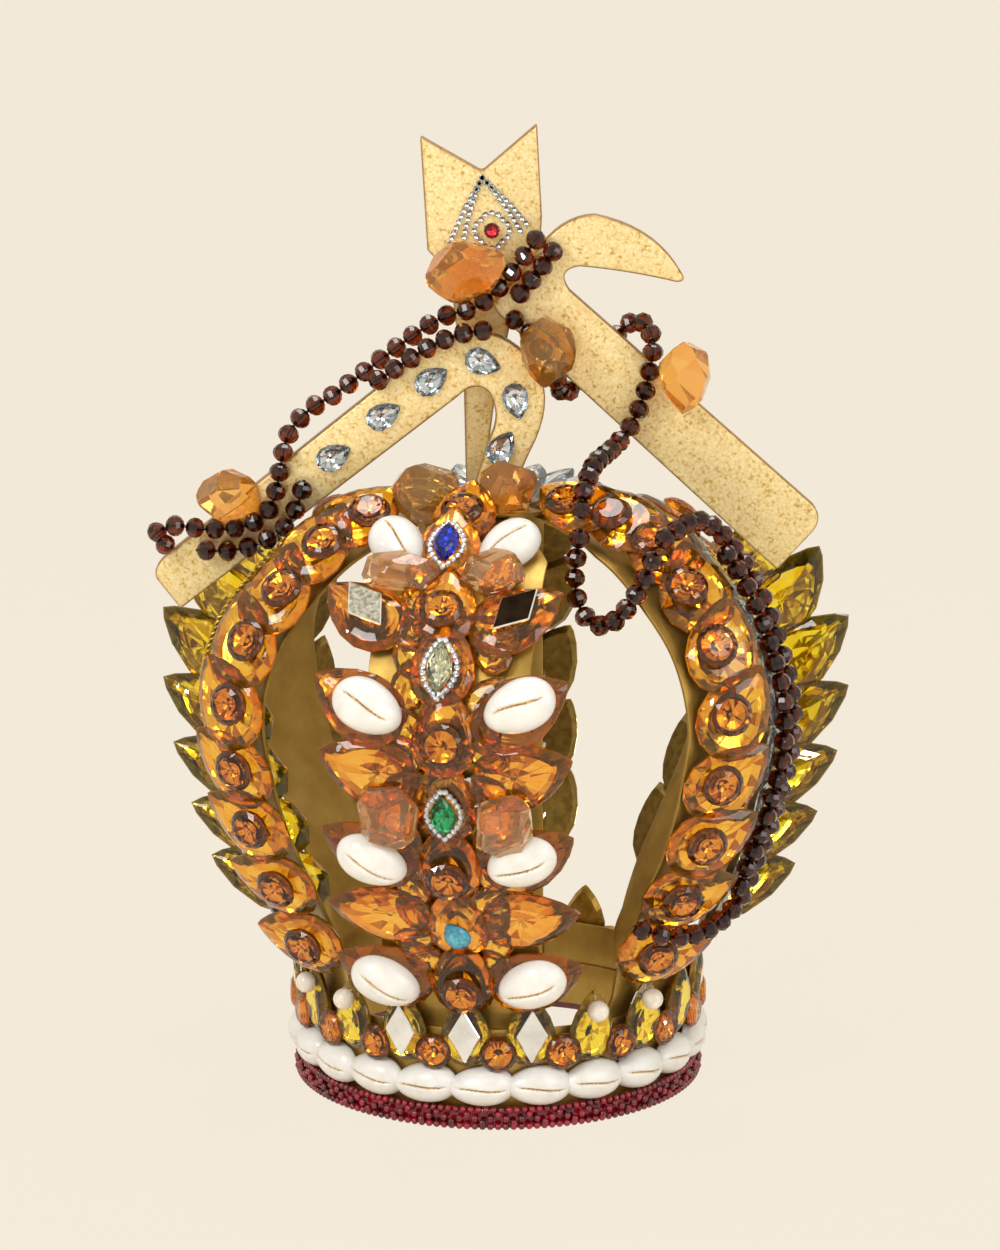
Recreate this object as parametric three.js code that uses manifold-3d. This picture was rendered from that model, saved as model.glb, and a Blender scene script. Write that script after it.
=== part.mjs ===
// Orisha crown: a shell and gem ring, six bulging bands that meet at a hub, three gilded board tools.
// Millimetres, +Z up, the front of the crown faces -Y. The origin is on the ring's axis, on the table.
import * as THREE from "three";
import { mergeVertices } from "three/addons/utils/BufferGeometryUtils.js";
import Module from "manifold-3d";

const wasm = await Module();
wasm.setup();

// Driving dimensions.
const GAP = 0.3; // clearance that touching pieces keep
const RING = { outer: 72, wall: 1.2, low: 3, high: 37 };
const LINER = { wall: 0.9, low: 4, high: 20.5 };
const TRIM = { inner: 72.4, outer: 78.6, high: 8.2 };
const COWRIES = { count: 22, firstAngle: -4.7, z: 15.9, length: 25, width: 14.6, height: 7.4 };
const RING_STONES = { count: 20, z: 30.3, diameter: 14, height: 4.6 };
const RING_LEAVES = { count: 20, firstAngle: 9, z: 37.6, length: 28, width: 19, height: 4.4, lean: 5 };
const PEARL = { diameter: 8, angles: [-63, -45, 27, 45], z: 44 };
const BAND = { wall: 1.2, halfWidth: 18, frontHalfWidth: 29, hubHalfWidth: 8, taperRadius: 62 };
const HUB = { radius: 30, rim: 24, z: 219.6, wall: 1.4 };
const LEAF = { length: 38, width: 26, height: 6 };
const STONE = { diameter: 16, height: 5 };
const COWRIE = { length: 26.5, width: 19, height: 9 };
const BOARD = { wall: 7, edge: 1.2 };
const BEAD = { diameter: 8, pitch: 7.4, waist: 1.5 };

// The bands' outline from the ring to the hub, as radius and height, and how far the back ones bulge.
const ARCH_PROFILE = [
  [70, 22], [70, 38], [74.6, 60], [86, 86], [96, 108], [102.5, 131],
  [105.5, 154], [98.5, 177], [84, 194], [68, 207], [48, 215], [24, 218.4],
];
const BACK_BULGE = 6;
const BULGE_TOP = 218;

const ARCHES = {
  arch_front: { azimuth: -10, halfWidth: BAND.frontHalfWidth, bulge: 0 },
  arch_right_front: { azimuth: 49, halfWidth: BAND.halfWidth, bulge: 0 },
  arch_right_back: { azimuth: 124, halfWidth: BAND.halfWidth, bulge: BACK_BULGE },
  arch_back: { azimuth: 180, halfWidth: BAND.halfWidth, bulge: BACK_BULGE },
  arch_left_back: { azimuth: -130, halfWidth: BAND.halfWidth, bulge: BACK_BULGE },
  arch_left_front: { azimuth: -62, halfWidth: BAND.halfWidth, bulge: 0 },
};

// Colours and finishes.
const look = (color, roughness, metalness) =>
  new THREE.MeshStandardMaterial({ color, roughness, metalness });
const LOOKS = {
  gilt: look("#c9a24a", 0.42, 0.7),
  band: look("#a3843a", 0.38, 0.8),
  amber: look("#e0860f", 0.12, 0),
  yellow: look("#e3bd12", 0.12, 0),
  clear: look("#c9cdd0", 0.1, 0.2),
  peach: look("#e0914f", 0.15, 0),
  shell: look("#f3efe6", 0.35, 0),
  redGlass: look("#8a0018", 0.2, 0),
  darkGlass: look("#2c0f06", 0.15, 0),
  blueGlass: look("#0b2fb0", 0.12, 0),
  oliveGlass: look("#a88a20", 0.12, 0),
  greenGlass: look("#0b7a45", 0.12, 0),
};

const crown = new THREE.Group();
const radians = THREE.MathUtils.degToRad;
const UP = new THREE.Vector3(0, 0, 1);

// Solids: three.js geometry in, joined or cut, three.js geometry out.
function solidOf(geometry) {
  const plain = geometry.clone();
  plain.deleteAttribute("normal");
  plain.deleteAttribute("uv");
  const merged = mergeVertices(plain, 1e-4);
  const vertProperties = merged.getAttribute("position").array;
  const triVerts = new Uint32Array(merged.index.array);
  const make = () => new wasm.Manifold(new wasm.Mesh({ numProp: 3, vertProperties, triVerts }));
  const made = make();
  if (made.volume() > 0) return made;
  for (let i = 0; i < triVerts.length; i += 3) {
    [triVerts[i + 1], triVerts[i + 2]] = [triVerts[i + 2], triVerts[i + 1]];
  }
  return make();
}

function geometryOf(solid) {
  const mesh = solid.getMesh();
  const geometry = new THREE.BufferGeometry();
  const position = new Float32Array(mesh.numVert * 3);
  for (let i = 0; i < mesh.numVert; i++) {
    position.set(mesh.vertProperties.subarray(i * mesh.numProp, i * mesh.numProp + 3), i * 3);
  }
  geometry.setAttribute("position", new THREE.BufferAttribute(position, 3));
  geometry.setIndex(new THREE.BufferAttribute(mesh.triVerts, 1));
  return geometry;
}

function fuse(parts) {
  let all = parts[0];
  for (const part of parts.slice(1)) all = all.add(part);
  return all;
}

// What a cut leaves over is one body: the largest piece.
function cut(solid, ...tools) {
  let left = solid;
  for (const tool of tools) left = left.subtract(tool);
  return left.decompose().sort((a, b) => b.volume() - a.volume())[0];
}

function add(name, solid, material) {
  const mesh = new THREE.Mesh(geometryOf(solid), material);
  mesh.name = name;
  crown.add(mesh);
}

// A closed skin over rings of points, each ring with the same number of points.
function loft(rings) {
  const count = rings[0].length;
  const positions = rings.flat().flatMap((p) => [p.x, p.y, p.z]);
  const index = [];
  for (let i = 0; i < rings.length - 1; i++) {
    const a = i * count;
    const b = a + count;
    for (let j = 0; j < count; j++) {
      const k = (j + 1) % count;
      index.push(a + j, a + k, b + k, a + j, b + k, b + j);
    }
  }
  const top = (rings.length - 1) * count;
  for (let j = 1; j < count - 1; j++) {
    index.push(0, j + 1, j);
    index.push(top, top + j, top + j + 1);
  }
  const geometry = new THREE.BufferGeometry();
  geometry.setAttribute("position", new THREE.Float32BufferAttribute(positions, 3));
  geometry.setIndex(index);
  return geometry;
}

function revolve(points, segments) {
  const outline = [...points, points[0]].map(([r, z]) => new THREE.Vector2(r, z));
  return new THREE.LatheGeometry(outline, segments).rotateX(Math.PI / 2);
}

// Cut stones, seated on z = 0 with their table up and their tip along +y.
// A grown copy is larger by the clearance all round: it cuts the neighbours.
function cutStone(outline, height, shares, grow) {
  const span = Math.max(...outline.map((p) => p.length()));
  const rings = shares.map(([share, rise]) =>
    outline.map((p) => {
      const size = share * (1 + grow / span) + grow / span;
      const z = rise * height + (rise < 0.01 ? -grow : rise > 0.99 ? grow : 0);
      return new THREE.Vector3(p.x * size, p.y * size, z);
    }),
  );
  return loft(rings);
}

const CROWN_CUT = [[0.8, 0], [1, 0.42], [0.56, 1]];
const PLAIN_CUT = [[1, 0], [0.6, 1]];

// A teardrop's half width along its length grows as a power from the tip and ends round.
const DROP = { point: 0.82, round: 0.5, widest: 0.418 };

function dropOutline(length, width, points) {
  return Array.from({ length: points }, (_, k) => {
    const t = (2 * Math.PI * k) / points;
    const way = (1 - Math.cos(t)) / 2;
    const share = (way ** DROP.point * (1 - way) ** DROP.round) / DROP.widest;
    return new THREE.Vector2(Math.sign(Math.sin(t)) * (width / 2) * share, (length / 2) * Math.cos(t));
  });
}

function ovalOutline(length, width, points) {
  return Array.from({ length: points }, (_, k) => {
    const t = (2 * Math.PI * (k + 0.5)) / points;
    return new THREE.Vector2((width / 2) * Math.sin(t), (length / 2) * Math.cos(t));
  });
}

const leafGem = (grow = 0, points = 8, shares = CROWN_CUT, size = LEAF) =>
  cutStone(dropOutline(size.length, size.width, points), size.height, shares, grow);
const roundGem = (grow = 0, shares = CROWN_CUT, size = STONE, points = 8) =>
  cutStone(ovalOutline(size.diameter, size.diameter, points), size.height, shares, grow);

// A pointed oval, its two tips along +y and -y.
function marquiseOutline(length, width) {
  const side = 3;
  const points = [];
  for (const way of [1, -1]) {
    for (let k = 0; k < side; k++) {
      const t = k / side;
      const y = way * (length / 2) * (1 - 2 * t);
      points.push(new THREE.Vector2(way * (width / 2) * (1 - (1 - 2 * t) ** 2), y));
    }
  }
  return points;
}

// A cowrie: an egg-shaped dome whose mouth is a slit along its length, here along +y.
function cowrie(size, around = 8, levels = [[0.92, 0], [1, 0.3], [0.6, 0.96]]) {
  const rings = levels.map(([share, rise]) =>
    Array.from({ length: around }, (_, k) => {
      const t = (2 * Math.PI * (k + 0.5)) / around;
      const egg = 1 + 0.12 * Math.cos(t);
      const x = (size.width / 2) * share * egg * Math.sin(t);
      const y = (size.length / 2) * share * Math.cos(t);
      return new THREE.Vector3(x, y, rise * size.height);
    }),
  );
  const slitLength = size.length * 0.6;
  const slitRing = (wide, z) =>
    [[0, 0.5], [0.5, 0], [0, -0.5], [-0.5, 0]].map(
      ([x, y]) => new THREE.Vector3(x * wide, y * slitLength, z * size.height),
    );
  const slit = loft([slitRing(0.8, 0.75), slitRing(2.8, 1.1)]);
  return solidOf(loft(rings)).subtract(solidOf(slit));
}

const nuggetGeometry = (x, y, z, grow = 0) =>
  new THREE.DodecahedronGeometry(1, 0).scale(x / 2 + grow, y / 2 + grow, z / 2 + grow);

// Places on the bands. s runs up the band from its foot, u across it (+ to the right seen from
// outside), lift is the height over the band's outer face.
function archCurve(bulge) {
  const points = ARCH_PROFILE.map(([r, z]) => {
    const swell = z > RING.high && z < BULGE_TOP ? Math.sin((Math.PI * (z - 38)) / 180) : 0;
    return new THREE.Vector3(r + bulge * Math.max(0, swell), z, 0);
  });
  return new THREE.CatmullRomCurve3(points, false, "centripetal");
}

const curves = { 0: archCurve(0), [BACK_BULGE]: archCurve(BACK_BULGE) };

function onArch(name, s, u = 0, lift = 0) {
  const { azimuth, bulge } = ARCHES[name];
  const curve = curves[bulge];
  const share = THREE.MathUtils.clamp(s / curve.getLength(), 0, 1);
  const p = curve.getPointAt(share);
  const slope = curve.getTangentAt(share);
  const a = radians(azimuth);
  const out = new THREE.Vector3(Math.sin(a), -Math.cos(a), 0);
  const across = new THREE.Vector3(Math.cos(a), Math.sin(a), 0);
  const along = out.clone().multiplyScalar(slope.x).addScaledVector(UP, slope.y);
  const normal = out.clone().multiplyScalar(slope.y).addScaledVector(UP, -slope.x);
  const point = out.clone().multiplyScalar(p.x).addScaledVector(UP, p.y);
  point.addScaledVector(across, u).addScaledVector(normal, lift + BAND.wall / 2);
  return { point, normal, along, across };
}

// A frame at a point: z along the normal, y as near as it can be to the tip direction.
function seat(point, normal, tip) {
  const z = normal.clone().normalize();
  const y = tip.clone().addScaledVector(z, -tip.dot(z)).normalize();
  const x = y.clone().cross(z);
  return new THREE.Matrix4().makeBasis(x, y, z).setPosition(point);
}

// Seats a stone on a band. lean tips its face down the band and turn tips it sideways, in degrees
// towards +u. tipAngle is the direction of its tip, in degrees from +u towards the hub.
function onBand(geometry, name, { s, u = 0, lift = 0.4, lean = 0, turn = 0, tipAngle = 90 }) {
  const { point, normal, along, across } = onArch(name, s, u, lift);
  const l = radians(lean);
  const facing = normal.clone().multiplyScalar(Math.cos(l)).addScaledVector(along, -Math.sin(l));
  const rising = along.clone().multiplyScalar(Math.cos(l)).addScaledVector(normal, Math.sin(l));
  const t = radians(turn);
  const face = facing.clone().multiplyScalar(Math.cos(t)).addScaledVector(across, Math.sin(t));
  const side = across.clone().multiplyScalar(Math.cos(t)).addScaledVector(facing, -Math.sin(t));
  const a = radians(tipAngle);
  const tip = side.multiplyScalar(Math.cos(a)).addScaledVector(rising, Math.sin(a));
  return geometry.clone().applyMatrix4(seat(point, face, tip));
}

// Seats a stone on the ring, upright, its face out.
function onRing(geometry, angle, radius, z, lean = 0, roll = 0) {
  const a = radians(angle);
  const out = new THREE.Vector3(Math.sin(a), -Math.cos(a), 0);
  const side = new THREE.Vector3(Math.cos(a), Math.sin(a), 0);
  const l = radians(lean);
  const face = out.clone().multiplyScalar(Math.cos(l)).addScaledVector(UP, -Math.sin(l));
  const r = radians(roll);
  const tip = UP.clone().multiplyScalar(Math.cos(r)).addScaledVector(side, Math.sin(r));
  const point = out.clone().multiplyScalar(radius).addScaledVector(UP, z);
  return geometry.clone().applyMatrix4(seat(point, face, tip));
}

// Base ring.
const ringInner = RING.outer - RING.wall;
add("ring_band", solidOf(revolve([
  [ringInner, RING.low], [RING.outer, RING.low], [RING.outer, RING.high], [ringInner, RING.high],
], 40)), LOOKS.band);

const linerOuter = ringInner - GAP;
add("ring_liner", solidOf(revolve([
  [linerOuter - LINER.wall, LINER.low], [linerOuter, LINER.low],
  [linerOuter, LINER.high], [linerOuter - LINER.wall, LINER.high],
], 32)), LOOKS.band);

// The beaded trim: two rows of beads, flat where it stands on the table.
const trimMiddle = TRIM.high * 0.5;
add("red_bead_trim", solidOf(revolve([
  [TRIM.inner, 0], [TRIM.outer - 1.6, 0], [TRIM.outer, trimMiddle * 0.5],
  [TRIM.outer - 1.6, trimMiddle], [TRIM.outer - 0.6, trimMiddle * 1.5],
  [TRIM.outer - 2.6, TRIM.high], [TRIM.inner, TRIM.high],
], 36)), LOOKS.redGlass);

const shellRadius = RING.outer + GAP;
// Upright teardrops and round stones over the cowries, with pearls on four of the teardrops.
function ringShells() {
  const shell = geometryOf(cowrie(COWRIES, 6, [[1, 0], [0.96, 0.4], [0.5, 0.98]]));
  return Array.from({ length: COWRIES.count }, (_, k) => {
    const angle = COWRIES.firstAngle + (360 * k) / COWRIES.count;
    return solidOf(onRing(shell, angle, shellRadius, COWRIES.z, 0, 90));
  });
}

function ringGems(grow) {
  const leaf = leafGem(grow, 6, PLAIN_CUT, RING_LEAVES);
  const stone = roundGem(grow, PLAIN_CUT, RING_STONES, 6);
  const gems = [];
  for (let k = 0; k < RING_LEAVES.count; k++) {
    const angle = (360 * k) / RING_LEAVES.count;
    const { firstAngle, z, lean } = RING_LEAVES;
    gems.push(solidOf(onRing(leaf, firstAngle + angle, shellRadius + 1.6, z, lean)));
    gems.push(solidOf(onRing(stone, angle, shellRadius + 1.2, RING_STONES.z)));
  }
  const pearl = new THREE.SphereGeometry(PEARL.diameter / 2 + grow, 6, 5);
  for (const angle of PEARL.angles) {
    gems.push(solidOf(onRing(pearl, angle, shellRadius + 8, PEARL.z)));
  }
  return fuse(gems);
}

// The six bands: a flat strip that follows the profile and narrows towards the hub. Its foot stands
// inside the ring and is curved like it.
const BAND_STEPS = 18;
const footCutter = solidOf(revolve([
  [ringInner - GAP, -1], [95, -1], [95, RING.high + GAP], [ringInner - GAP, RING.high + GAP],
], 72));

function bandSolid(name, grow = 0) {
  const { bulge, halfWidth } = ARCHES[name];
  const length = curves[bulge].getLength();
  const rings = [];
  for (let i = 0; i <= BAND_STEPS; i++) {
    const { point, normal, across } = onArch(name, (length * i) / BAND_STEPS, 0, -BAND.wall / 2);
    const radius = Math.hypot(point.x, point.y);
    const onFoot = point.z < RING.high + 6;
    const full = onFoot ? BAND.halfWidth : halfWidth;
    const share = (radius - HUB.rim) / (BAND.taperRadius - HUB.rim);
    const half = THREE.MathUtils.lerp(
      BAND.hubHalfWidth, full, THREE.MathUtils.clamp(share, 0, 1),
    ) + grow;
    rings.push([[-1, -1], [1, -1], [1, 1], [-1, 1]].map(([side, face]) => {
      const p = point.clone().addScaledVector(across, side * half);
      return p.addScaledVector(normal, face * (BAND.wall / 2 + grow));
    }));
  }
  return solidOf(loft(rings));
}

const bandCutters = {};
for (const name of Object.keys(ARCHES)) {
  add(name, cut(bandSolid(name), footCutter), LOOKS.band);
  bandCutters[name] = bandSolid(name, GAP);
}

const hubDisc = (grow) => solidOf(
  new THREE.CylinderGeometry(HUB.radius + grow, HUB.radius + grow, HUB.wall + 2 * grow, 24)
    .rotateX(Math.PI / 2).translate(0, 0, HUB.z + HUB.wall / 2),
);

// Cowries round the ring, lying, end to end.
add("cowrie_row", fuse(ringShells()), LOOKS.shell);
add("ring_gem_row", cut(ringGems(0), ...Object.values(bandCutters)), LOOKS.yellow);
const ringGemCutter = ringGems(GAP);

// The three gilded boards, one behind the other, standing on the hub.
function board(outline, front) {
  const shape = new THREE.Shape();
  for (const [step, ...numbers] of outline) shape[step](...numbers);
  const { wall, edge } = BOARD;
  const geometry = new THREE.ExtrudeGeometry(shape, {
    depth: wall - 2 * edge, bevelThickness: edge, bevelSize: edge, bevelOffset: -edge,
    bevelSegments: 1, curveSegments: 4,
  });
  return geometry.rotateX(Math.PI / 2).translate(0, front + wall - edge, 0);
}

const boardFoot = HUB.z + HUB.wall + GAP;
const CROOK_FRONT = -10.3;
const HOOK_FRONT = CROOK_FRONT + BOARD.wall + GAP;
const TAIL_FRONT = HOOK_FRONT + BOARD.wall + GAP;

const CROOK_OUTLINE = [
  ["moveTo", -118.5, 181], ["lineTo", -15, 261], ["quadraticCurveTo", -8, 268, -3, 262],
  ["quadraticCurveTo", 1, 254, -3, 246], ["lineTo", -9, 228], ["lineTo", -9, boardFoot],
  ["lineTo", 5, boardFoot], ["quadraticCurveTo", 8, 233, 14, 245],
  ["quadraticCurveTo", 22, 264, 11, 276], ["quadraticCurveTo", -4, 292, -25, 280],
  ["lineTo", -121, 203.5], ["quadraticCurveTo", -130, 197, -127, 192],
];
const PEARS = [
  [-60.7, 239, 28], [-42.1, 254.4, 30], [-24.4, 267.4, 36], [-5.6, 274.1, -20],
  [6.6, 259.6, -78], [1.4, 242.4, 58],
];
const PEAR = { length: 14, width: 10, height: 3 };
const HOOK_OUTLINE = [
  ["moveTo", -2.3, 294.6], ["lineTo", -0.1, 290.8], ["lineTo", 104.3, 194.4],
  ["lineTo", 117.6, 209], ["quadraticCurveTo", 121.5, 214, 117.6, 219],
  ["lineTo", 26.5, 299.5], ["quadraticCurveTo", 21, 307, 30, 308.4],
  ["quadraticCurveTo", 48, 306.8, 65.5, 302.6], ["quadraticCurveTo", 70, 302.5, 67.5, 306],
  ["quadraticCurveTo", 58, 323, 35.5, 327.4], ["quadraticCurveTo", 21, 327, 11, 309],
];
const TAIL_OUTLINE = [
  ["moveTo", -12, boardFoot], ["lineTo", -6, boardFoot], ["lineTo", -0.8, 261], ["lineTo", 8, 302],
  ["lineTo", 15.4, 312], ["lineTo", 16.2, 326], ["lineTo", 14.3, 360], ["lineTo", -5.9, 342.7],
  ["lineTo", -28.7, 355.6], ["lineTo", -26.2, 313.5], ["lineTo", -18, 304.5], ["lineTo", -12.8, 262],
];

// A flat stone on a board's face, its tip at an angle from +x.
function onBoard(geometry, front, x, z, angle) {
  const a = radians(angle);
  const tip = new THREE.Vector3(Math.cos(a), 0, Math.sin(a));
  return geometry.clone().applyMatrix4(
    seat(new THREE.Vector3(x, front + 0.5, z), new THREE.Vector3(0, -1, 0), tip),
  );
}

function crook(grow) {
  const parts = [solidOf(board(CROOK_OUTLINE, CROOK_FRONT))];
  for (const [x, z, angle] of PEARS) {
    const pear = leafGem(0, 6, PLAIN_CUT, PEAR);
    parts.push(solidOf(onBoard(pear, CROOK_FRONT, x, z, angle)));
  }
  return fuse(parts);
}
add("crook_board", crook(), LOOKS.gilt);
add("hook_board", solidOf(board(HOOK_OUTLINE, HOOK_FRONT)), LOOKS.gilt);
add("swallowtail_board", solidOf(board(TAIL_OUTLINE, TAIL_FRONT)), LOOKS.gilt);

// The bead strand. Each stretch is one string of touching faceted beads along its route.
function beads(route, grow = 0) {
  const curve = new THREE.CatmullRomCurve3(
    route.map((p) => new THREE.Vector3(...p)), false, "centripetal",
  );
  const count = Math.round(curve.getLength() / BEAD.pitch);
  const radius = BEAD.diameter / 2 + grow;
  const stations = [[0, BEAD.waist + grow]];
  for (let k = 0; k < count; k++) {
    stations.push([(k + 0.5) / count, radius]);
    stations.push([(k + 1) / count, BEAD.waist + grow]);
  }
  const sides = 6;
  let side = new THREE.Vector3(0, 1, 0);
  const rings = stations.map(([share, r]) => {
    const p = curve.getPointAt(share);
    const t = curve.getTangentAt(share);
    side = side.clone().addScaledVector(t, -side.dot(t)).normalize();
    const other = t.clone().cross(side);
    return Array.from({ length: sides }, (_, k) => {
      const a = (2 * Math.PI * (k + 0.5)) / sides;
      const q = p.clone().addScaledVector(side, r * Math.cos(a));
      return q.addScaledVector(other, r * Math.sin(a));
    });
  });
  return solidOf(loft(rings));
}

// The loop hangs in a plane beside the right front band: points there are radius and height.
const LOOP = { azimuth: ARCHES.arch_right_front.azimuth, across: -23.5 };
const loopPoint = (r, z) => {
  const a = radians(LOOP.azimuth);
  const x = r * Math.sin(a) + LOOP.across * Math.cos(a);
  const y = -r * Math.cos(a) + LOOP.across * Math.sin(a);
  return [x, y, z];
};
const LOOP_ROUTE = [
  [59.6, 220.8], [58.4, 213], [57.2, 206], [57.2, 199], [59.4, 192], [64, 187.4], [70.5, 186.6],
  [77, 190], [82.6, 196], [87.5, 203], [91.4, 210], [94.4, 216.6],
];

const STRANDS = {
  strand_crook: [
    [-120, -15.6, 205], [-127.5, -14.5, 209.5], [-121, -15.6, 213.6], [-108, -15.6, 212.6],
    [-95, -15.6, 213.4], [-86, -15.6, 218], [-82, -15.4, 227], [-80, -15.4, 237],
    [-77, -10, 248], [-69, -7, 256.4], [-61, -7, 261.2], [-51, -7, 268.6], [-40, -7, 277],
    [-30, -7, 284.4], [-20, -7.6, 290.6], [-9, -8.4, 294], [0, -8.4, 301], [8, -8.4, 311],
    [16, -8.4, 322],
  ],
  strand_hook: [
    [3, -8, 291.4], [9.5, -8.4, 287], [15.5, -9, 279.5], [20.4, -8.6, 270.4], [24, 1.6, 261],
    [29.6, 9.2, 262.4], [36, 9.4, 270], [42.6, 9.4, 279], [48.6, 6.4, 286], [54.6, -1, 286.6],
    [57, -7.8, 280], [56, -8, 271], [54, -8, 262], [50, -9, 252], [44.6, -14, 245],
    [40, -24, 242.6], [36, -35, 241.4], [33, -45.6, 238.6], [30.6, -54, 232.4],
    [...loopPoint(60.4, 224)],
  ],
  strand_arm: [
    [...loopPoint(95.8, 220.2)], [64, -72, 223.4], [70, -64, 225], [77, -56, 221.6],
    [83.8, -50, 214], [89.7, -47, 205.2], [95, -48, 195.6], [99.5, -51, 184.8], [103.1, -54, 173],
    [106.1, -55, 161.3], [107.1, -55, 147.8], [105.8, -54.2, 134.3], [102.8, -53.6, 121],
    [98.9, -52.2, 107.5], [95.1, -50, 96], [90.4, -53, 84.6], [83.6, -62, 77.6], [74, -72.6, 74.4],
    [65, -79.6, 74.6], [56, -82.4, 77], [48.6, -82.2, 79.4],
  ],
};
add("strand_loop", beads(LOOP_ROUTE.map(([r, z]) => loopPoint(r, z))), LOOKS.darkGlass);
const strandCutters = [];
for (const [name, route] of Object.entries(STRANDS)) {
  add(name, beads(route), LOOKS.darkGlass);
  strandCutters.push(beads(route, GAP));
}

// Large nuggets threaded on the strand.
const boardCutter = fuse([
  solidOf(board(CROOK_OUTLINE, CROOK_FRONT - GAP)), solidOf(board(CROOK_OUTLINE, CROOK_FRONT + GAP)),
  solidOf(board(HOOK_OUTLINE, HOOK_FRONT - GAP)), solidOf(board(TAIL_OUTLINE, TAIL_FRONT - GAP)),
]);
const STRAND_NUGGETS = {
  nugget_swallowtail: [-11.4, -7.5, 307.3, 30, 21, 23],
  nugget_crook_top: [17.5, -15.5, 279.2, 20, 18, 25],
  nugget_hook: [69, -10, 268.4, 19, 18, 27],
  nugget_handle: [-99, -13, 224.6, 23, 18, 19],
};
for (const [name, [x, y, z, wide, deep, high]] of Object.entries(STRAND_NUGGETS)) {
  const nugget = solidOf(nuggetGeometry(wide, deep, high).translate(x, y, z));
  add(name, cut(nugget, boardCutter, ...strandCutters), LOOKS.amber);
}

// Front band, from the ring up. Each place of the column is a teardrop's s, u, lift and lean: the
// top two lean on the hub's nuggets and face the viewer.
const FRONT = "arch_front";
const COLUMN = [
  [39, 1, 0.5, 0], [66, 1, 0.5, 0], [93, 0, 0.5, 0], [118, 0, 0.5, 0], [142, 0, 0.5, 0],
  [165, -2, 0.5, 0], [187, -4, 0.5, 0], [215, -6.5, 3, 20], [238, -5, 4, 24],
];
const COLUMN_STONES = [0, 2, 4, 6, 8];
const COLUMN_STONE_DROP = 5; // how far below the middle of its teardrop a round stone sits
// Each tier of leaves is its middle's s, the middles' distance to both sides, how far the pair is
// shifted across the band, and how far the tips rise from level, in degrees.
const LEAF_TIERS = [
  [39, 28, 0, 23], [68, 27.5, 0, 12], [96, 29, 0, 30], [128, 28, 0, 20], [150, 29.5, -2, 33],
  [183, 27.5, -5, 38],
];
const columnLeaf = { length: 34, width: 24, height: 6 };

const TURQUOISE = { tier: 1, drop: 3, roll: 30, length: 12, width: 10, height: 4 };

// Seats a stone on the column at a tier, some way down its teardrop and over the band.
function onColumn(geometry, tier, drop = 0, over = 0, roll = 0) {
  const [s, u, lift, lean] = COLUMN[tier];
  const moved = geometry.clone().rotateZ(radians(roll)).translate(0, -drop, over);
  return onBand(moved, FRONT, { s, u, lift, lean });
}

function frontColumn(grow) {
  const parts = [];
  const sunk = columnLeaf.height - 0.5; // joined to the teardrop
  COLUMN.forEach((_, tier) => {
    parts.push(onColumn(leafGem(grow, 8, PLAIN_CUT, columnLeaf), tier));
    if (!COLUMN_STONES.includes(tier)) return;
    parts.push(onColumn(roundGem(grow, PLAIN_CUT), tier, COLUMN_STONE_DROP, sunk));
  });
  const pear = leafGem(grow, 6, PLAIN_CUT, TURQUOISE);
  parts.push(onColumn(pear, TURQUOISE.tier, TURQUOISE.drop, sunk, TURQUOISE.roll));
  return fuse(parts.map(solidOf));
}
const hubCutter = hubDisc(GAP);
const topTools = [...Object.values(bandCutters), boardCutter, ...strandCutters];
add("front_gem_column", cut(frontColumn(0), ringGemCutter, hubCutter, ...topTools), LOOKS.amber);
const columnCutter = frontColumn(GAP);

function frontLeaf(k, side, grow) {
  const [s, away, shift, rise] = LEAF_TIERS[k];
  const place = { s, u: shift + side * away, lift: 0.5, tipAngle: side > 0 ? rise : 180 - rise };
  return solidOf(onBand(leafGem(grow), FRONT, place));
}

// Shell tiers lie whole, and the plain tiers are tucked under them.
for (const [side, word] of [[-1, "left"], [1, "right"]]) {
  const leaves = LEAF_TIERS.map((_, k) => frontLeaf(k, side, GAP));
  LEAF_TIERS.forEach((_, k) => {
    const neighbours = k % 2 ? [leaves[k - 1], leaves[k + 1]].filter(Boolean) : [];
    const leaf = cut(frontLeaf(k, side, 0), columnCutter, ringGemCutter, bandCutters[FRONT],
      ...neighbours);
    add("front_leaf_" + word + "_" + (k + 1), leaf, LOOKS.amber);
  });
}

// Cowries on every other pair of leaves from the ring up, and two at the top.
const leafTop = 0.5 + LEAF.height + GAP;
const SHELL_TIERS = [0, 2, 4];
const leafShellPlace = (side, tier) => (
  { s: LEAF_TIERS[tier][0] + side, u: side * 27, lift: leafTop, tipAngle: 90 - side * 64 }
);
const TOP_SHELLS = {
  left: { s: 213, u: -25, lift: 4, lean: 22, tipAngle: 132 },
  right: { s: 215.5, u: 14.5, lift: 3, lean: 22, tipAngle: 52 },
};
for (const [side, word] of [[-1, "left"], [1, "right"]]) {
  SHELL_TIERS.forEach((tier, k) => {
    const shell = solidOf(onBand(geometryOf(cowrie(COWRIE)), FRONT, leafShellPlace(side, tier)));
    add("leaf_cowrie_" + word + "_" + (k + 1), cut(shell, columnCutter, ringGemCutter), LOOKS.shell);
  });
  const shell = solidOf(onBand(geometryOf(cowrie(COWRIE)), FRONT, TOP_SHELLS[word]));
  add("top_cowrie_" + word, cut(shell, columnCutter, ...Object.values(bandCutters)), LOOKS.shell);
}

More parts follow.
